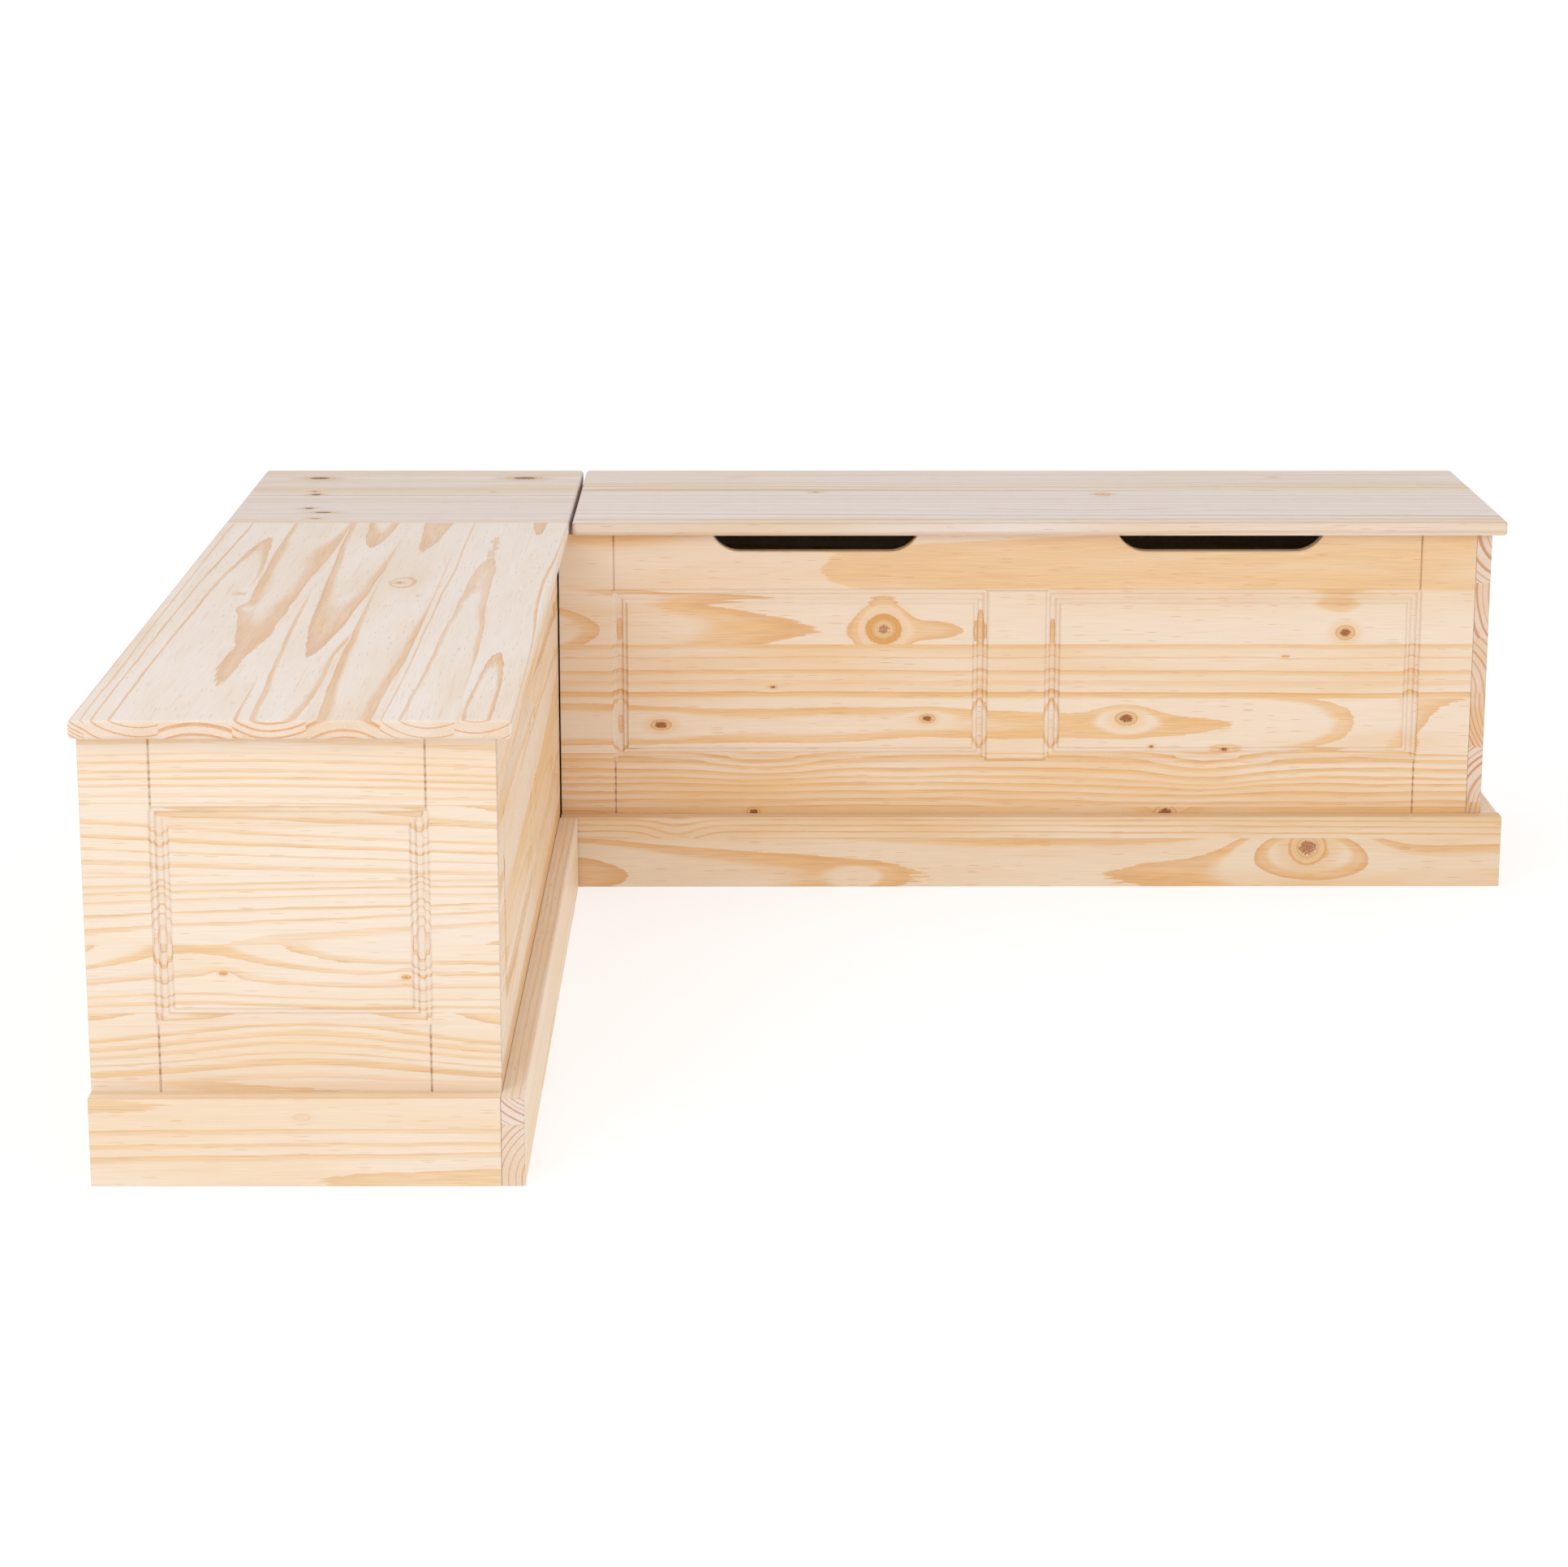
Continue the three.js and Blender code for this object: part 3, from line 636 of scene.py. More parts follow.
    def knots(self, colour: Signal) -> tuple[Signal, Signal]:
        """Lays the knots over the wood: an orange halo, fine rings, a dark rim and a darker heart.

        Args:
            colour: the clear wood's colour.

        Returns:
            The colour with the knots in it, and the share of knot.
        """
        wiring, read = self.wiring, self.read
        rough = self.grain_noise(self.KNOT_GRAIN, self.FINE)
        jagged = read["Distance"] + wiring.swing(rough, self.JAGGED)
        distance = read["Distance"] + wiring.swing(rough, self.UNEVEN)
        darkness = read["Darkness"]
        there = wiring.step(darkness, *self.KNOT_SHOWS)
        disc = wiring.step(distance, *self.KNOT_DISC) * there
        halo = wiring.step(distance, *self.HALO) * there * self.HALO_SHARE
        orange_from = wiring.step(darkness, *self.ORANGE_FROM)
        orange = wiring.step(distance, orange_from, orange_from + self.ORANGE_WIDTH)
        shade, shade_swing = self.RING_SHADES
        body = wiring.mix(orange, KNOT_PALE, KNOT_ORANGE)
        body = body * (wiring.math("SINE", distance * self.RING_WAVES) * shade_swing + shade)
        brown_shows = wiring.step(darkness, *self.BROWN_SHOWS)
        for radius, strength in self.BROWN_RINGS:
            ring = wiring.math("ABSOLUTE", distance - radius)
            ring = wiring.step(ring, 0.0, self.BROWN_RING_WIDTH, strength, 0.0)
            body = wiring.mix(ring * brown_shows, body, KNOT_BROWN)
        size = darkness * self.HEART_SIZE
        heart = wiring.step(jagged, size * self.HEART_RIM, size, 1.0, 0.0) * self.HEART_SHARE
        heart_colour = wiring.mix(wiring.step(darkness, *self.HEART_TURNS), KNOT_BROWN, KNOT_HEART)
        heart_shade = rough * self.HEART_GRAIN + wiring.step(darkness, *self.HEART_SHADE)
        body = wiring.mix(heart, body, heart_colour * heart_shade)
        colour = wiring.mix(halo, colour, wiring.mix(self.HALO_LATE, colour, read["Late"]))
        return wiring.mix(disc, colour, body), disc


@dataclass(frozen=True)
class Stock:
    """What the pieces share: the formulas of the knots and of the wood, and the steel."""

    knot_group: bpy.types.NodeTree
    pine_group: bpy.types.NodeTree
    steel: bpy.types.Material


@dataclass
class Board:
    """One board of edge-glued pine: which way its grain runs, where its glue lines are, and its staves.

    The first glue line lies at `seam` and the others a `pitch` apart, in millimetres from the low edge.
    """

    CUT_ACROSS: ClassVar[tuple[float, float]] = (0.55, 0.9)
    SEED_STRIDE: ClassVar[int] = 7
    FAR_FROM_KNOTS: ClassVar[float] = 50.0
    DEPTH_SIGNS: ClassVar[tuple[int, int]] = (-1, 1)
    INVENTED: ClassVar[dict[str, tuple[float, float]]] = {
        "middle": (-45, 45), "depth": (35, 110), "tilt": (-16, 16), "spacing": (4.5, 10), "tip": (0, 1),
        "wander": (1.2, 2.8), "late": (0.26, 0.4), "tone": (-0.7, 0.7),
    }

    node: str
    grain: Axis
    across: Axis
    finish: PineFinish
    seam: float = 0.0
    pitch: float = 69.5
    staves: Sequence[Stave] = ()
    knots: Sequence[Knot] = ()
    seed: int = 0
    outward: int = 1

    def __post_init__(self) -> None:
        """Reads the board's place from the frame, and invents staves where none are given."""
        low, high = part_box(self.node)
        self.low = np.array(low) / MILLIMETRE
        self.size = np.array(high) / MILLIMETRE - self.low
        self.through = Axis(sum(Axis) - self.grain - self.across)
        if not self.staves:
            draw = np.random.default_rng(self.seed)
            count = math.ceil((self.size[self.across] - self.seam) / self.pitch)
            self.staves = [self.invented_stave(draw) for _ in range(count)]

    def invented_stave(self, draw: np.random.Generator) -> Stave:
        """Draws one stave of the board.

        Args:
            draw: where the random numbers come from.

        Returns:
            The stave.
        """
        values = {}
        for name, (low, high) in self.INVENTED.items():
            sign = draw.choice(self.DEPTH_SIGNS) if name == "depth" else 1
            values[name] = sign * draw.uniform(low, high)
        values["tip"] *= self.size[self.grain]
        return Stave(**values)

    def own_stave(self, across: float) -> int:
        """Finds the number of the stave that lies a distance across from the board's low edge."""
        return min(max(math.floor((across - self.seam) / self.pitch), 0), len(self.staves) - 1)

    def middle_line(self, number: int) -> float:
        """Gives how far a stave's middle line lies from the board's low edge."""
        return self.seam + (number + 0.5) * self.pitch

    def phase(self, number: int) -> float:
        """Finds the part of a year that puts a ring's end at a stave's tip, on the board's outward face.

        Args:
            number: the stave's number.

        Returns:
            The phase, from 0 to 1.
        """
        stave = self.staves[number]
        depth = stave.depth + stave.tilt * stave.tip * MILLIMETRE - self.outward * self.size[self.through] / 2
        across = self.middle_line(number) + stave.middle
        lift = sum(
            knot.lift * math.exp(-((stave.tip - knot.along) / knot.flow) ** 2 / knot.reach ** 2
                                 - ((across - knot.across) / knot.reach) ** 2)
            for knot in self.knots
            if knot.darkness == 0.0 and self.own_stave(knot.across) == number
        )
        return float(-(abs(depth) + lift) / stave.spacing % 1.0)

    def ramp(self, place: Signal, stops: Sequence[tuple[float, ...]]) -> Signal:
        """Makes a colour ramp of equal steps, one for each stave.

        Args:
            place: where the ramp is read, from 0 to 1.
            stops: the colours of the steps.

        Returns:
            The ramp's colour.
        """
        node = self.wiring.add("ShaderNodeValToRGB", {0: place})
        ramp = node.color_ramp
        ramp.interpolation = "CONSTANT"
        ramp.elements.remove(ramp.elements[-1])
        for number, colour in enumerate(stops):
            stop = ramp.elements[0] if number == 0 else ramp.elements.new(number / len(stops))
            stop.position = number / len(stops)
            stop.color = colour
        return self.wiring.take(node, "Color")

    def board_place(self) -> tuple[Signal, ...]:
        """Turns Object coordinates into millimetres along the grain, across it and through the board.

        Returns:
            The place along, across and through, and the share of cut across the fibres.
        """
        wiring = self.wiring
        read = wiring.add("ShaderNodeTexCoord", {})
        metres = wiring.split(wiring.take(read, "Object"))
        origin = self.low.copy()
        origin[self.through] += self.size[self.through] / 2
        along, across, through = (
            metres[axis] * MILLIMETRES_PER_METRE - float(origin[axis])
            for axis in (self.grain, self.across, self.through)
        )
        facing = wiring.math("ABSOLUTE", wiring.split(wiring.take(read, "Normal"))[self.grain])
        return along, across, through, wiring.step(facing, *self.CUT_ACROSS)

    def stave_signals(self, stave: Signal) -> dict[str, Signal]:
        """Makes the three ramps that hold what each stave of the board is like.

        Args:
            stave: the stave's number.

        Returns:
            The ramps' colours, by the names of the wood formula's inputs.
        """
        count = len(self.staves)
        at = stave * (1 / count) + 0.5 / count
        rows = {
            "Shape": (Coding.SHAPE, [(s.middle, s.depth, s.tilt) for s in self.staves]),
            "Growth": (Coding.GROWTH, [(s.spacing, s.wander, s.tone) for s in self.staves]),
            "Habit": (Coding.HABIT, [(self.phase(n), s.late, s.even) for n, s in enumerate(self.staves)]),
        }
        return {
            name: self.ramp(at, [Coding.packed(values, ranges) for values in table])
            for name, (ranges, table) in rows.items()
        }

    def knot_chain(self, place: Signal, stave: Signal, knot_group: bpy.types.NodeTree) -> dict[str, Value]:
        """Strings the board's knots together.

        Args:
            place: the place in the stave.
            stave: the stave's number.
            knot_group: the knots' formula.

        Returns:
            The lift of the rings, the distance from the nearest knot, and that knot's darkness, by name.
        """
        passed = {"Lift": 0.0, "Distance": self.FAR_FROM_KNOTS, "Darkness": 0.0}
        for knot in self.knots:
            own = self.own_stave(knot.across)
            group = self.wiring.add("ShaderNodeGroup", {
                **passed, "Place": place, "Stave": stave, "Own stave": float(own),
                "Middle": (knot.along, knot.across - self.middle_line(own), 0.0),
                "Core size": (knot.radius * knot.stretch, knot.radius, 1.0),
                "Reach": (knot.reach * knot.flow, knot.reach, 1.0), "Height": knot.lift,
                "Own darkness": knot.darkness,
            }, node_tree=knot_group)
            passed = {name: self.wiring.take(group, name) for name in passed}
        return passed

    def material(self, stock: Stock) -> bpy.types.Material:
        """Builds the board's own pine.

        Args:
            stock: what the pieces share.

        Returns:
            The material.
        """
        material, self.wiring = blank_material(f"pine_{self.node}")
        wiring, finish = self.wiring, self.finish
        along, across, through, cut_across = self.board_place()
        stave = wiring.math("FLOOR", (across - self.seam) / self.pitch)
        stave = wiring.math("MINIMUM", wiring.math("MAXIMUM", stave, 0.0), len(self.staves) - 1.0)
        place = wiring.joined(along, across - (stave * self.pitch + self.middle_line(0)), through)
        wood = wiring.add("ShaderNodeGroup", {
            "Place": place, "Stave": stave + float(self.seed * self.SEED_STRIDE), "Cut across": cut_across,
            **self.stave_signals(stave), **self.knot_chain(place, stave, stock.knot_group),
            "Early": linear_colour(*finish.early), "Late": linear_colour(*finish.late),
            "Deep": linear_colour(*finish.deep), "Warm": linear_colour(*finish.warm),
            "Roughness": finish.roughness,
            "Cut early": (*finish.cut_early, 1.0), "Cut late": (*finish.cut_late, 1.0),
        }, node_tree=stock.pine_group)
        radius = {"Radius": finish.edge_radius}
        soft_edges = wiring.add("ShaderNodeBevel", radius, samples=finish.edge_samples)
        bump = wiring.add("ShaderNodeBump", {
            "Strength": finish.relief, "Distance": finish.relief_height,
            "Height": wiring.take(wood, "Height"), "Normal": wiring.take(soft_edges),
        })
        wiring.surface({
            "Base Color": wiring.take(wood, "Colour"), "Roughness": wiring.take(wood, "Roughness"),
            "Normal": wiring.take(bump), "IOR": finish.refraction, "Specular IOR Level": finish.specular,
            "Coat Weight": finish.coat, "Coat Roughness": finish.coat_roughness,
            "Coat IOR": finish.coat_refraction,
        })
        return material

    def dress(self, stock: Stock) -> None:
        """Gives the board's CAD node its own pine."""
        wear(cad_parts[self.node], self.material(stock))
        log.info("dressed %s: %d staves, %d knots", self.node, len(self.staves), len(self.knots))


def wear(piece: bpy.types.Object, material: bpy.types.Material) -> None:
    """Puts one material into every slot of a piece.

    Args:
        piece: the piece that is dressed.
        material: what it wears.
    """
    if not piece.material_slots:
        piece.data.materials.append(material)
    for slot in piece.material_slots:
        slot.material = material


def grid_mesh(name: str, points: np.ndarray, closed: bool = False) -> bpy.types.Mesh:
    """Makes a mesh with a four-sided face between every four neighbours of a grid of points.

    Args:
        name: the mesh's name.
        points: an array of rows, columns and three coordinates, in metres.
        closed: whether the last column joins on to the first.

    Returns:
        The mesh.
    """
    rows, columns = points.shape[:2]
    row = np.arange(rows - 1)[:, None] * columns
    column = np.arange(columns if closed else columns - 1)
    beside = (column + 1) % columns
    corners = [row + column, row + columns + column, row + columns + beside, row + beside]
    mesh = bpy.data.meshes.new(name)
    mesh.from_pydata(points.reshape(-1, 3).tolist(), [], np.stack(corners, axis=-1).reshape(-1, 4).tolist())
    return mesh


def placed(name: str, data: bpy.types.ID) -> bpy.types.Object:
    """Makes an object of a mesh, a light or a camera, and puts it in the scene.

    Args:
        name: the object's name.
        data: what it is made of.

    Returns:
        The object.
    """
    thing = bpy.data.objects.new(name, data)
    bpy.context.scene.collection.objects.link(thing)
    return thing


@dataclass(frozen=True)
class SteelFinish:
    """Zinc-plated steel, with the faint clouds and brushing that plated hinges have.

    The clouds and the brush marks are told as waves of noise to a metre. The steel is at its smoothest and at
    its dullest where the brushing noise passes the two ends of `brushed`.
    """

    colour: tuple[int, int, int] = (196, 197, 192)
    cloudy: tuple[int, int, int] = (168, 170, 166)
    smoothest: float = 0.28
    dullest: float = 0.46
    clouds: tuple[float, float, float] = (240.0, 240.0, 240.0)
    cloud_detail: float = 3.0
    brush_marks: tuple[float, float, float] = (2600.0, 260.0, 900.0)
    brush_detail: float = 2.0
    brushed: tuple[float, float] = (0.3, 0.7)
    relief: float = 0.15
    relief_height: float = 0.00003

    def material(self) -> bpy.types.Material:
        """Builds the steel, which all the metal pieces share.

        Returns:
            The material.
        """
        material, wiring = blank_material("zinc_steel")
        place = wiring.take(wiring.add("ShaderNodeTexCoord", {}), "Object")
        cloud = wiring.noise(place * self.clouds, self.cloud_detail)
        brushed = wiring.noise(place * self.brush_marks, self.brush_detail)
        relief = {"Strength": self.relief, "Distance": self.relief_height, "Height": brushed}
        wiring.surface({
            "Base Color": wiring.mix(cloud, linear_colour(*self.colour), linear_colour(*self.cloudy)),
            "Roughness": wiring.step(brushed, *self.brushed, self.smoothest, self.dullest),
            "Metallic": 1.0, "Normal": wiring.take(wiring.add("ShaderNodeBump", relief)),
        })
        return material


@dataclass(frozen=True)
class Screw:
    """A countersunk wood screw with a cross recess, in millimetres.

    Its surface is one sheet turned about the screw's axis. From the middle of the head it runs out to the
    rim, down the cone to the shank and on to the point. Two slots at right angles sink into the head: a point
    is in a slot where its distance from the slot's middle line is under half the slot's width, and near
    enough to the axis.
    """

    TURNS: ClassVar[int] = 56
    HEAD_RINGS: ClassVar[int] = 18
    RISE_STEPS: ClassVar[int] = 5
    SLOT_END_SIDES: ClassVar[float] = 4.0
    SAME_POINT: ClassVar[float] = 1e-7

    head_radius: float = 2.8
    head_height: float = 1.45
    shank_radius: float = 1.35
    length: float = 12.0
    point: float = 4.0
    slot_width: float = 0.8
    slot_reach: float = 1.7
    slot_depth: float = 0.9
    slot_side: float = 0.12

    def recess(self, radius: np.ndarray, angle: np.ndarray) -> np.ndarray:
        """Works out the two slots of the head.

        Args:
            radius: distances from the axis.
            angle: angles round it.

        Returns:
            How far the head is sunk at each of them.
        """
        slots = [np.clip((self.slot_width / 2 - np.abs(offset)) / self.slot_side + 0.5, 0.0, 1.0)
                 for offset in (radius * np.sin(angle), radius * np.cos(angle))]
        fade = np.clip((self.slot_reach - radius) / (self.SLOT_END_SIDES * self.slot_side), 0.0, 1.0)
        return self.slot_depth * np.maximum(*slots) * fade

    def profile(self) -> tuple[np.ndarray, np.ndarray]:
        """Draws the screw's outline, from the middle of the head to the point.

        Returns:
            The distances from the axis, and the heights.
        """
        corners = [(self.head_radius, 0.0), (self.shank_radius, -self.head_height),
                   (self.shank_radius, self.point - self.length), (0.0, -self.length)]
        radii, heights = [np.linspace(0.0, self.head_radius, self.HEAD_RINGS)], [np.zeros(self.HEAD_RINGS)]
        for (first_radius, first_height), (radius, height) in zip(corners, corners[1:]):
            radii.append(np.linspace(first_radius, radius, self.RISE_STEPS)[1:])
            heights.append(np.linspace(first_height, height, self.RISE_STEPS)[1:])
        return np.concatenate(radii), np.concatenate(heights)

    def points(self, place: Sequence[float], facing: Sequence[float], turn: float) -> np.ndarray:
        """Works out the sheet's points in the shared frame, in metres.

        Args:
            place: the middle of the head, in metres.
            facing: the direction that the head looks in.
            turn: how far the cross is turned, in radians.

        Returns:
            An array of rings, points round each ring, and three coordinates.
        """
        radii, heights = self.profile()
        angles = np.linspace(0.0, math.tau, self.TURNS, endpoint=False)
        radius, angle = np.meshgrid(radii, angles, indexing="ij")
        height = np.repeat(heights[:, None], self.TURNS, axis=1)
        height[: self.HEAD_RINGS] -= self.recess(radius, angle)[: self.HEAD_RINGS]
        local = np.stack([radius * np.cos(angle + turn), radius * np.sin(angle + turn), height], axis=-1)
        stand = np.array(Vector((0.0, 0.0, 1.0)).rotation_difference(Vector(facing)).to_matrix())
        return local * MILLIMETRE @ stand.T + np.array(place)

    def close_poles(self, mesh: bpy.types.Mesh) -> None:
        """Merges the first ring and the last one, which have no width, into single points.

        Args:
            mesh: the screw's mesh.
        """
        form = bmesh.new()
        form.from_mesh(mesh)
        bmesh.ops.remove_doubles(form, verts=form.verts, dist=self.SAME_POINT)
        bmesh.ops.recalc_face_normals(form, faces=form.faces)
        form.to_mesh(mesh)
        form.free()

    def build(self, name: str, body: str, place: Sequence[float], facing: Sequence[float], turn: float,
              steel: bpy.types.Material) -> None:
        """Builds one screw and makes it ride on its body.

        Args:
            name: the piece's name.
            body: the body that the screw holds on to.
            place: the middle of the head, in metres.
            facing: the direction that the head looks in.
            turn: how far the cross is turned, in radians.
            steel: the material.
        """
        mesh = grid_mesh(name, self.points(place, facing, turn), closed=True)
        self.close_poles(mesh)
        screw = placed(name, mesh)
        wear(screw, steel)
        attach(screw, body)
        log.info("drove %s into %s", name, body)


@dataclass(frozen=True)
class SoftLight:
    """A square soft light: its place and width in metres, and its power in watts."""

    name: str
    place: tuple[float, float, float]
    power: float
    width: float = 2.0


@dataclass
class Studio:
    """The floor, the soft lights and the camera, at the photograph's angle."""

    frame_width: int = 1932
    frame_height: int = 1931
    principal_row: float = 1054.5
    focal_length_pixels: float = 4897.4
    sensor_width: float = 36.0
    camera_place: tuple[float, float, float] = (-0.13248, -4.45135, 1.25395)
    pitch_down: float = 14.156
    yaw_right: float = 0.321
    roll: float = 0.042
    nearest: float = 0.05
    farthest: float = 400.0
    floor_reach: float = 60.0
    floor_steps: int = 8
    floor_colour: tuple[int, int, int] = (184, 184, 184)
    floor_dimmest: float = 0.985
    floor_roughness: float = 0.9
    floor_specular: float = 0.1
    floor_glow: float = 0.59
    sky_strength: float = 0.86
    aim: tuple[float, float, float] = (0.0, 0.2, 0.25)
    soft_lights: Sequence[SoftLight] = (
        SoftLight("key", (-1.5, -2.9, 2.3), 25.0),
        SoftLight("fill", (3.4, -2.2, 1.6), 12.0),
    )

    def camera(self) -> None:
        """Sets the camera where the photograph was taken from, with the frame moved up by a small shift."""
        data = bpy.data.cameras.new("camera")
        data.sensor_width = self.sensor_width
        data.lens = self.focal_length_pixels / self.frame_width * self.sensor_width
        data.shift_y = (self.principal_row - self.frame_height / 2) / self.frame_width
        data.clip_start, data.clip_end = self.nearest, self.farthest
        camera = placed("camera", data)
        turn = (Matrix.Rotation(math.radians(-self.yaw_right), 4, "Z")
                @ Matrix.Rotation(math.radians(90 - self.pitch_down), 4, "X")
                @ Matrix.Rotation(math.radians(self.roll), 4, "Z"))
        camera.matrix_world = Matrix.Translation(Vector(self.camera_place)) @ turn
        bpy.context.scene.camera = camera

    def floor(self) -> None:
        """Lays a wide pale floor under the bench, a square grid of even steps."""
        steps = np.linspace(-self.floor_reach, self.floor_reach, self.floor_steps + 1)
        x, y = np.meshgrid(steps, steps, indexing="ij")
        floor = placed("floor", grid_mesh("floor", np.stack([x, y, np.zeros_like(x)], axis=-1)))
        material, wiring = blank_material("floor")
        place = wiring.take(wiring.add("ShaderNodeTexCoord", {}), "Object")
        pale = linear_colour(*self.floor_colour)
        dimmer = tuple(self.floor_dimmest * part for part in pale)
        wiring.surface({
            "Base Color": wiring.mix(wiring.noise(place), pale, dimmer), "Roughness": self.floor_roughness,
            "Specular IOR Level": self.floor_specular, "Emission Color": (1.0, 1.0, 1.0, 1.0),
            "Emission Strength": self.floor_glow,
        })
        wear(floor, material)

    def lights(self) -> None:
        """Sets an even white sky, a wide soft key from the upper left and a weaker fill from the right."""
        world = bpy.data.worlds.new("studio")
        world.use_nodes = True
        background = world.node_tree.nodes["Background"]
        background.inputs["Color"].default_value = (1.0, 1.0, 1.0, 1.0)
        background.inputs["Strength"].default_value = self.sky_strength
        bpy.context.scene.world = world
        for soft in self.soft_lights:
            data = bpy.data.lights.new(soft.name, "AREA")
            data.energy = soft.power
            data.size = soft.width
            direction = Vector(self.aim) - Vector(soft.place)
            turn = direction.to_track_quat("-Z", "Y").to_matrix().to_4x4()
            placed(soft.name, data).matrix_world = Matrix.Translation(soft.place) @ turn

    def build(self) -> None:
        """Builds the whole studio and keeps colours as the surfaces have them."""
        self.camera()
        self.floor()
        self.lights()
        bpy.context.scene.view_settings.view_transform = "Standard"
        log.info("built the studio")


def swell(along: float, across: float, lift: float, reach: float, flow: float) -> Knot:
    """Makes a swirl in the rings without a knot in it."""
    return Knot(along, across, 1.0, 1.0, lift, reach, flow, 0.0)


# The left chest's lid: broad flames along the seat.
LEFT_LID = Board(
    "left_lid", Axis.Y, Axis.X, LID_PINE, seam=-53.4, pitch=69.9, seed=1,
    staves=[
        Stave(60, 60, 0, 4.5, 0, 1.2, 0.3),
        Stave(15.6, 68, 2.4, 10.0, 965, 1.4, 0.2, 0.0, 0.6),
        Stave(0, -75, 9, 11.0, -6, 3.4, 0.4, 0.0, 0.9),
        Stave(4, 72, -18, 9.0, 445, 2.4, 0.38, 0.0, 0.8),
        Stave(0, -60, 9, 9.0, 490, 2.4, 0.4, 0.2, 0.7),
        Stave(11, 66, 7, 10.0, 500, 2.4, 0.18, 0.0, 0.5),
        Stave(-14, 60, 0, 8.0, 478, 1.0, 0.16, 0.0, 0.7),
    ],
    knots=[
        Knot(733, 250, 6.0, 1.2, -9, 15, 1.8, 0.62),
        Knot(665, 76, 5.0, 2.4, 3, 9, 2.0, 0.12),
        swell(1150, 60, 5, 90, 4.0), swell(575, 92, -4, 10, 2.6), swell(670, 385, 7, 80, 3.75),
        swell(930, 130, 4, 22, 5.0), swell(650, 280, -4, 10, 3.0), swell(300, 222, 3, 12, 8.0),
    ],
)

# The right chest's front: straight bands, two flames and eleven knots.
RIGHT_FRONT = Board(
    "right_front_panel", Axis.X, Axis.Z, FRONT_PINE, seam=-41.0, pitch=69.0, seed=2, outward=-1,
    staves=[
        Stave(0, 60, 6, 7.0),
        Stave(10, 70, 6, 7.0, 500, 2.0, 0.48, 0.85),
        Stave(-95, 55, 4, 8.0, 300, 6.0, 0.6, 0.3, 1.0),
        Stave(2, 70, 3, 8.0, -1330, 2.4, 0.36, -0.3, 0.6),
        Stave(-100, 50, 3, 12.0, 300, 3.0, 0.4, 0.1, 0.0),
        Stave(-16, 110, 17, 16.0, -502, 1.6, 0.32, -0.2, 0.8),
        Stave(-9, 120, -14, 23.0, 320, 1.6, 0.7, 0.1, 0.55),
    ],
    knots=[
        Knot(401, 323, 19.5, 1.18, -34, 27, 0.83, 0.42),
        Knot(973, 318.6, 9.5, 1.3, 7, 20, 1.1, 0.76),
        Knot(264, 250, 2.0, 2.6, 2, 7, 2.4, 0.9),
        Knot(900, 288.6, 1.6, 3.0, 1.5, 6, 2.4, 0.4),
        Knot(125, 202, 7.0, 1.9, -2.5, 13, 2.2, 0.85),
        Knot(456, 210, 6.0, 1.7, -2.5, 12, 2.2, 0.85),
        Knot(704, 210, 9.0, 1.6, -6, 18, 1.8, 0.85),
        Knot(736, 174, 2.4, 1.6, 2, 7, 2.2, 0.9),
        Knot(827, 170, 3.4, 2.0, 5, 10, 2.2, 0.9),
        Knot(240, 91, 6.0, 1.4, 4, 14, 2.2, 0.84),
        Knot(755, 89, 10.0, 1.5, 5, 18, 2.2, 0.86),
        swell(-60, 322, -20, 60, 2.5), swell(455, 322, -4.0, 15, 3.4), swell(1132, 200, 18, 44, 4.0),
        swell(1130, 322, -6, 80, 3.0), swell(200, 400, 5, 60, 2.0), swell(60, 440, 16, 24, 5.0),
        swell(250, 160, 9, 34, 2.2), swell(800, 150, 10, 30, 2.2), swell(962, 356, 10, 18, 2.2),
    ],
)

# The left chest's outer end, the palest board, with dense fine rings.
LEFT_END = Board(
    "left_outer_end_panel", Axis.X, Axis.Z, END_PINE, seam=-37.5, pitch=68.5, seed=3, outward=-1,
    staves=[
        Stave(0, 60, 6, 7.0),
        Stave(20, 60, 6, 6.0, 0, 2.0, 0.5, 0.2),
        Stave(40, 45, -4, 7.0, 340, 2.6, 0.5, 0.0),
        Stave(34, 42, -2, 6.5, 1390, 1.6, 0.42, -0.1),
        Stave(-36, 52, -20, 5.5, 120, 2.4, 0.42, -0.2),
        Stave(45, 65, -33, 7.0, 300, 1.2, 0.42, -0.2),
        Stave(52, 44, -8, 5.5, 100, 1.4, 0.42, 0.0),
    ],
    knots=[
        Knot(132, 208, 2.2, 2.0, 3, 8, 2.4, 0.5),
        Knot(308, 204, 2.4, 2.0, 3, 8, 2.4, 0.5),
        swell(214, 120, 13, 90, 1.7), swell(200, 438, 4, 60, 3.0), swell(100, 232, 8, 60, 1.8),
    ],
)

# The right chest's front plinth: large flames and a big knot under the glue line.
RIGHT_PLINTH = Board(
    "right_front_plinth", Axis.X, Axis.Z, PLINTH_PINE, seam=-7.0, pitch=69.0, seed=4, outward=-1,
    staves=[
        Stave(-18, 90, 0, 12.0, 724, 2.2, 0.4, -0.1, 0.7),
        Stave(-90, 50, 3, 5.5, 300, 1.8, 0.45, 0.1, 0.6),
    ],
    knots=[
        Knot(932, 50, 23, 1.05, -32, 34, 2.1, 0.62),
        swell(560, 10, 12, 90, 5.0), swell(144, 64, 9, 24, 1.5), swell(370, 12, -7, 14, 2.2),
        swell(0, 25, -8, 40, 2.5),
    ],
)

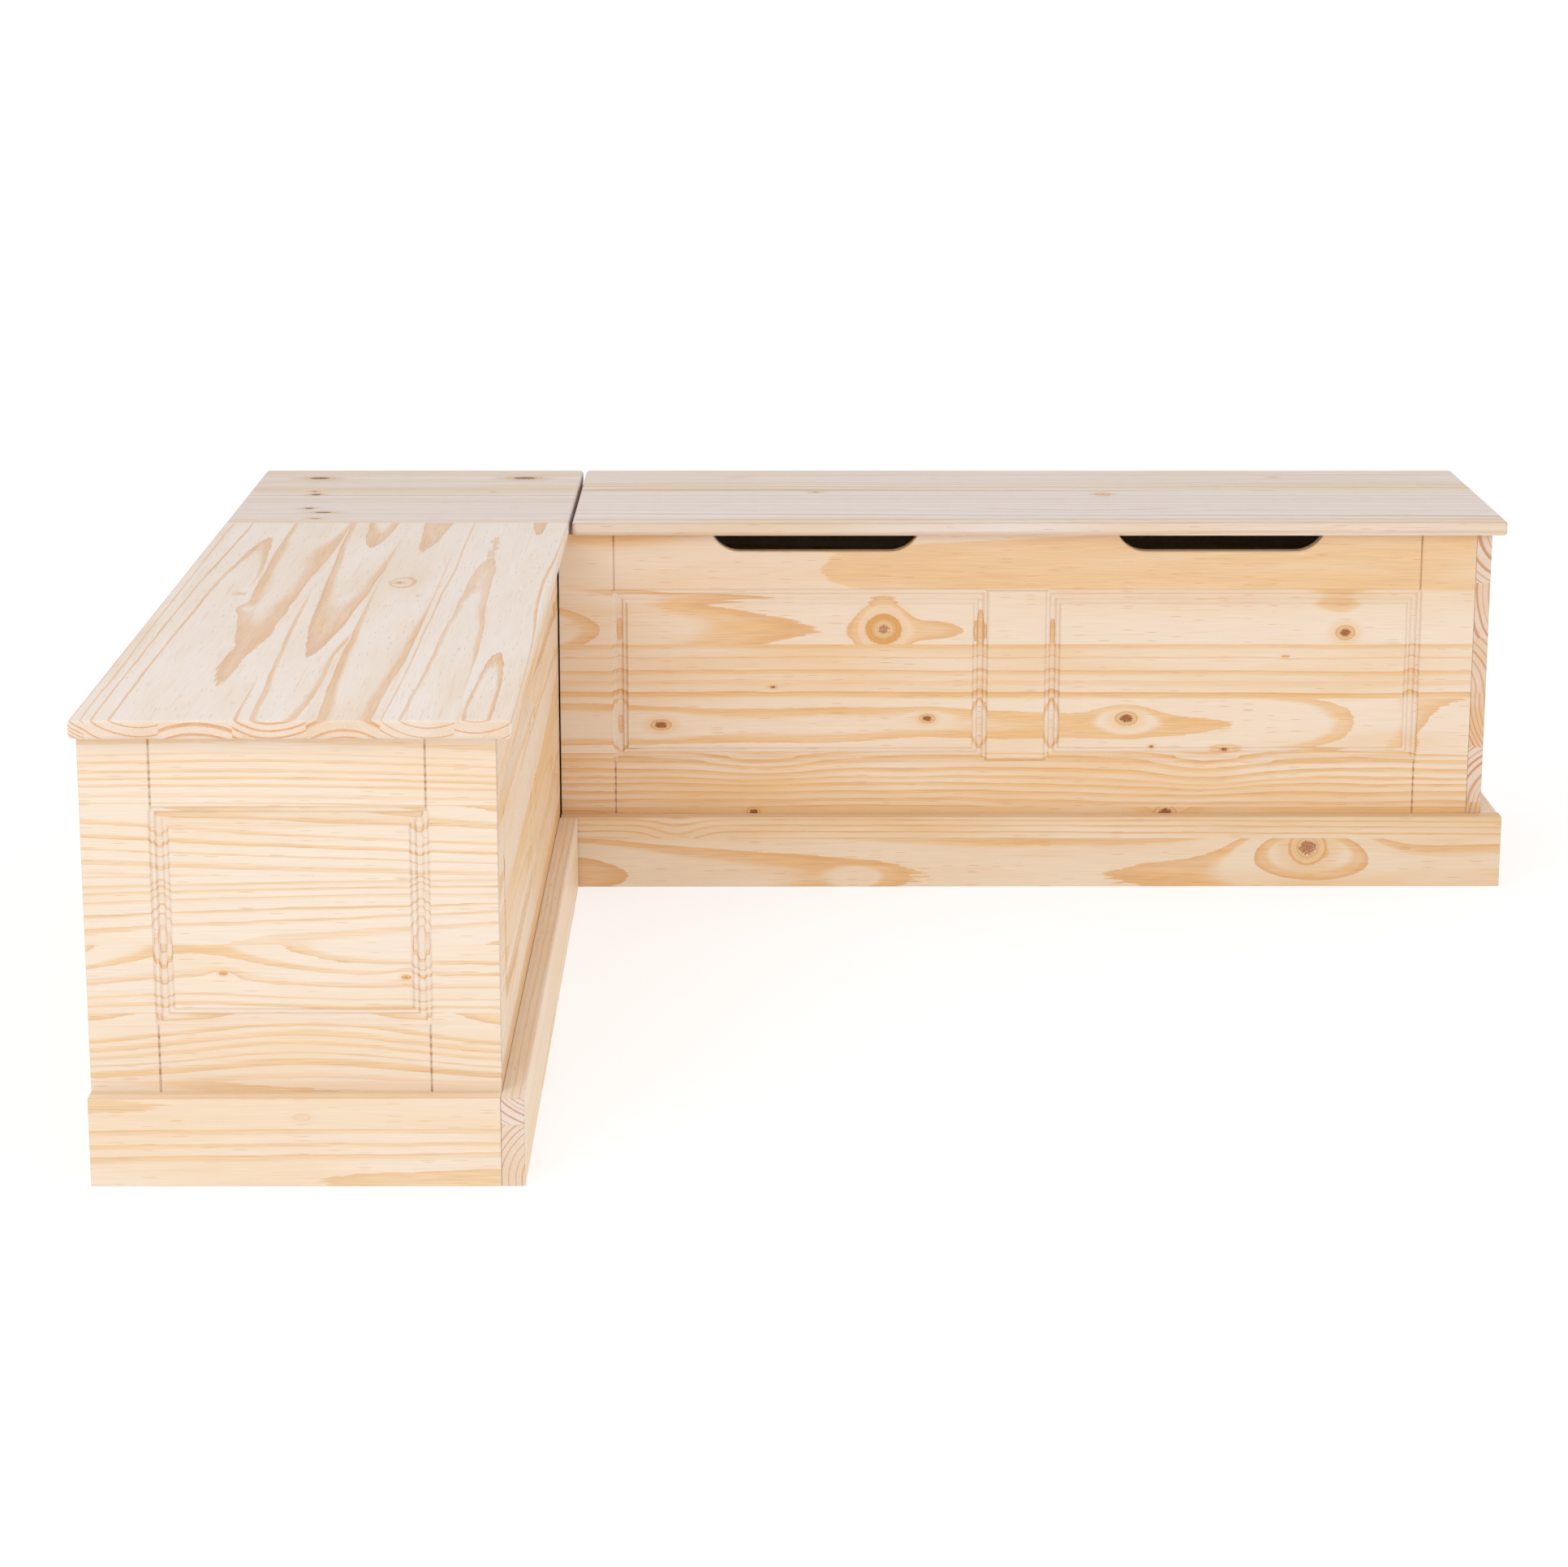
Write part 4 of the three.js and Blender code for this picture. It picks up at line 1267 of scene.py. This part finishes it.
# The left chest's end plinth: a few broad straight bands.
LEFT_END_PLINTH = Board(
    "left_end_plinth", Axis.X, Axis.Z, END_PINE, seam=-11.0, pitch=69.0, seed=5, outward=-1,
    staves=[
        Stave(-18, 45, -9, 7.0, 200, 1.8, 0.45, 0.3, 0.7),
        Stave(-10, 46, 3, 18.0, 900, 1.6, 0.3, 0.3),
    ],
    knots=[Knot(206, 70, 4.0, 2.4, 2, 10, 2.4, 0.12)],
)

# The fixed corner seat, fine and pinkish, with two dark lens-shaped knots and six small ones.
CORNER_TOP = Board(
    "corner_top", Axis.X, Axis.Y, SEAT_PINE, seam=-50.0, pitch=70.0, seed=6,
    staves=[
        Stave(middle, depth, tilt, spacing, 100.0, 2.0, 0.36, tone)
        for middle, depth, tilt, spacing, tone in (
            (90, 50, 3, 8.0, 0.4), (-80, 60, 4, 9.0, -0.6), (100, -50, -3, 8.0, -0.8),
            (70, 60, 2, 9.5, -0.3), (-110, 40, 4, 12.0, 0.5), (60, -60, -2, 9.0, -0.1),
            (-70, 60, 3, 9.0, 0.3),
        )
    ],
    knots=[
        Knot(78, 350, 14.0, 1.5, 4, 16, 2.2, 0.97),
        Knot(346, 351, 15.0, 1.6, 4, 17, 2.4, 1.0),
        Knot(83, 238, 7.0, 1.0, 2, 8, 2.0, 0.8),
        Knot(88, 213, 10.0, 1.0, 2, 8, 2.0, 1.0),
        Knot(91, 104, 8.0, 1.1, 2, 8, 2.0, 1.0),
        Knot(112, 72, 7.5, 2.2, 2, 8, 2.4, 0.97),
        Knot(107, 24, 5.5, 1.8, 2, 8, 2.4, 0.9),
        Knot(313, 232, 5.0, 1.0, 2, 8, 2.0, 0.6),
    ],
)

# The right chest's lid, fine and pinkish, with a yellow band and a swirl.
RIGHT_LID = Board(
    "right_lid", Axis.X, Axis.Y, SEAT_PINE, seam=-36.0, pitch=69.0, seed=7,
    staves=[
        Stave(middle, depth, tilt, spacing, 300.0, wander, 0.36, tone)
        for middle, depth, tilt, spacing, wander, tone in (
            (60, 60, 2, 9.0, 2.0, 0.3), (-46, 60, 9, 11.0, 3.4, -0.5), (-90, 50, 6, 9.0, 2.4, -0.8),
            (100, 60, 2, 9.0, 1.4, -0.4), (-36, 60, 4, 15.0, 5.0, 0.5), (80, 60, -3, 9.0, 2.0, 0.0),
            (-70, 60, 2, 9.0, 1.6, 0.1),
        )
    ],
    knots=[
        Knot(301, 233, 5.0, 1.6, 4, 12, 2.0, 0.7),
        Knot(668, 214, 12.0, 0.9, 9, 24, 0.9, 0.3),
        Knot(200, 358, 6.0, 2.0, 4, 12, 2.0, 0.16),
        Knot(903, 358, 6.0, 1.2, 4, 14, 1.5, 0.2),
        swell(640, 90, 12, 30, 6.0), swell(830, 100, -8, 30, 3.0),
    ],
)


@dataclass
class Chest:
    """One lidded chest: its boards, its hinges, its bolts and its screws, with lengths in millimetres."""

    HIDDEN_SEAM: ClassVar[float] = -25.0
    HIDDEN_SEEDS: ClassVar[dict[Side, int]] = {Side.LEFT: 13, Side.RIGHT: 43}
    LEAF_SCREW_SEED: ClassVar[int] = 5
    BATTEN_SCREW_SEED: ClassVar[int] = 6

    side: Side
    hinges: int = 3
    bolts: int = 2
    screws_in_leaf: int = 3
    screws_in_batten: int = 4
    leaf_screw: Screw = Screw()
    leaf_screw_from_end: float = 8.0
    leaf_screw_from_edge: float = 6.15
    leaf_screw_sunk: float = 0.05
    leaf_gap: float = 0.3
    batten_screw: Screw = Screw(4.0, 2.2, 2.0, 30.0, 6.0, slot_width=1.0, slot_reach=2.5, slot_depth=1.4)
    batten_screw_from_end: float = 30.0
    batten_screw_stagger: float = 9.0
    batten_screw_proud: float = 0.12

    def __post_init__(self) -> None:
        """Turns the chest's boards and its back to its own side of the corner."""
        is_left = self.side is Side.LEFT
        self.long, self.short = (Axis.Y, Axis.X) if is_left else (Axis.X, Axis.Y)
        self.towards_back = -1.0 if is_left else 1.0
        self.prefix = self.side.value
        self.lid_body = f"{self.prefix}_lid_assembly"

    def seen_boards(self) -> list[Board]:
        """Lists the boards whose outer faces are seen when the lids are closed.

        Returns:
            The boards.
        """
        if self.side is Side.LEFT:
            return [LEFT_LID, LEFT_END, LEFT_END_PLINTH,
                    Board("left_front_panel", self.long, Axis.Z, FRONT_PINE, -20.0, seed=11),
                    Board("left_front_plinth", self.long, Axis.Z, END_PINE, -7.0, seed=12)]
        return [RIGHT_LID, RIGHT_FRONT, RIGHT_PLINTH,
                Board("right_outer_end_panel", self.short, Axis.Z, FRONT_PINE, -36.0, seed=41),
                Board("right_end_plinth", self.short, Axis.Z, FRONT_PINE, -7.0, seed=42)]

    def hidden_boards(self) -> list[Board]:
        """Lists the boards at the back and inside, with staves of their own invention.

        Returns:
            The boards.
        """
        long, short = self.long, self.short
        boards = [
            ("back_panel", long, Axis.Z), ("inner_end_panel", short, Axis.Z), ("back_cleat", long, short),
            ("front_cleat", long, short), ("floor_board", long, short), ("lid_batten_outer", short, long),
            ("lid_batten_inner", short, long),
        ]
        return [
            Board(f"{self.prefix}_{name}", grain, across, INNER_PINE, self.HIDDEN_SEAM, seed=seed)
            for seed, (name, grain, across) in enumerate(boards, start=self.HIDDEN_SEEDS[self.side])
        ]

    def steel_nodes(self) -> list[str]:
        """Names the chest's hinge and bolt nodes.

        Returns:
            The names.
        """
        hinges = [f"{self.prefix}_hinge_{number}_{part}" for number in range(1, self.hinges + 1)
                  for part in ("body_leaf", "lid_leaf", "pin")]
        bolts = [f"{self.prefix}_{part}_{number}" for number in range(1, self.bolts + 1)
                 for part in ("joining_bolt", "sleeve_nut")]
        return hinges + bolts

    def dress(self, stock: Stock) -> None:
        """Dresses every board and every metal piece of the chest.

        Args:
            stock: what the pieces share.
        """
        for board in self.seen_boards() + self.hidden_boards():
            board.dress(stock)
        for name in self.steel_nodes():
            wear(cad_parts[name], stock.steel)
        log.info("dressed the %s chest's %d metal pieces", self.prefix, len(self.steel_nodes()))
        self.drive_leaf_screws(stock.steel)
        self.drive_batten_screws(stock.steel)

    def row(self, low: float, high: float, from_end: float, count: int) -> np.ndarray:
        """Spreads screws evenly from a margin, in millimetres, at one end to the same margin at the other."""
        return np.linspace(low + from_end * MILLIMETRE, high - from_end * MILLIMETRE, count)

    def pin_level(self, hinge: int) -> float:
        """Gives the height of the middle of a hinge's pin."""
        low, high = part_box(f"{self.prefix}_hinge_{hinge}_pin")
        return (low[Axis.Z] + high[Axis.Z]) / 2

    def drive_leaf_screws(self, steel: bpy.types.Material) -> None:
        """Drives the screws into the holes of the hinge leaves, flush with the faces that meet.

        Args:
            steel: the screws' material.
        """
        draw = np.random.default_rng(self.LEAF_SCREW_SEED)
        below_pin = self.leaf_gap / 2 + self.leaf_screw_sunk
        for hinge in range(1, self.hinges + 1):
            for leaf, body, up in (("body", "bench", 1.0), ("lid", self.lid_body, -1.0)):
                name = f"{self.prefix}_hinge_{hinge}_{leaf}"
                low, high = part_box(f"{name}_leaf")
                free_edge = high[self.short] if self.towards_back < 0 else low[self.short]
                place = np.zeros(3)
                place[self.short] = free_edge + self.towards_back * self.leaf_screw_from_edge * MILLIMETRE
                place[Axis.Z] = self.pin_level(hinge) - up * below_pin * MILLIMETRE
                row = self.row(low[self.long], high[self.long], self.leaf_screw_from_end, self.screws_in_leaf)
                for number, along in enumerate(row, start=1):
                    place[self.long] = along
                    turn = draw.uniform(0, math.tau)
                    self.leaf_screw.build(f"{name}_screw_{number}", body, place, (0, 0, up), turn, steel)

    def drive_batten_screws(self, steel: bpy.types.Material) -> None:
        """Drives a staggered row of screws up through each batten into the lid.

        Args:
            steel: the screws' material.
        """
        draw = np.random.default_rng(self.BATTEN_SCREW_SEED)
        for end in ("outer", "inner"):
            name = f"{self.prefix}_lid_batten_{end}"
            low, high = (np.array(corner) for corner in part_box(name))
            ends = (low[self.short], high[self.short])
            row = self.row(*ends, self.batten_screw_from_end, self.screws_in_batten)
            for number, along in enumerate(row, start=1):
                place = (low + high) / 2
                place[self.short] = along
                place[self.long] += self.batten_screw_stagger * MILLIMETRE * (-1) ** number
                place[Axis.Z] = low[Axis.Z] - self.batten_screw_proud * MILLIMETRE
                turn = draw.uniform(0, math.tau)
                screw_name = f"{name}_screw_{number}"
                self.batten_screw.build(screw_name, self.lid_body, place, (0, 0, -1), turn, steel)


@dataclass
class CornerUnit:
    """The square unit between the chests, under its fixed top."""

    hidden_seam: float = -30.0
    first_seed: int = 70
    hidden: Sequence[tuple[str, Axis, Axis]] = (
        ("left_wall_panel", Axis.Y, Axis.Z), ("back_wall_panel", Axis.X, Axis.Z),
        ("left_chest_side_panel", Axis.X, Axis.Z), ("right_chest_side_panel", Axis.Y, Axis.Z),
        ("top_left_cleat", Axis.Y, Axis.X), ("top_right_cleat", Axis.Y, Axis.X),
    )

    def boards(self) -> list[Board]:
        """Lists the unit's boards, the seat first and then the hidden ones.

        Returns:
            The boards.
        """
        return [CORNER_TOP] + [
            Board(f"corner_{name}", grain, across, INNER_PINE, self.hidden_seam, seed=seed)
            for seed, (name, grain, across) in enumerate(self.hidden, start=self.first_seed)
        ]

    def dress(self, stock: Stock) -> None:
        """Dresses every board of the unit."""
        for board in self.boards():
            board.dress(stock)


def main() -> None:
    """Builds the studio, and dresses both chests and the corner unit."""
    logging.basicConfig(level=logging.INFO, format="%(name)s: %(message)s")
    Studio().build()
    stock = Stock(KnotFormula().tree, PineFormula().tree, SteelFinish().material())
    for side in Side:
        Chest(side).dress(stock)
    CornerUnit().dress(stock)


if __name__ == "__main__":
    main()
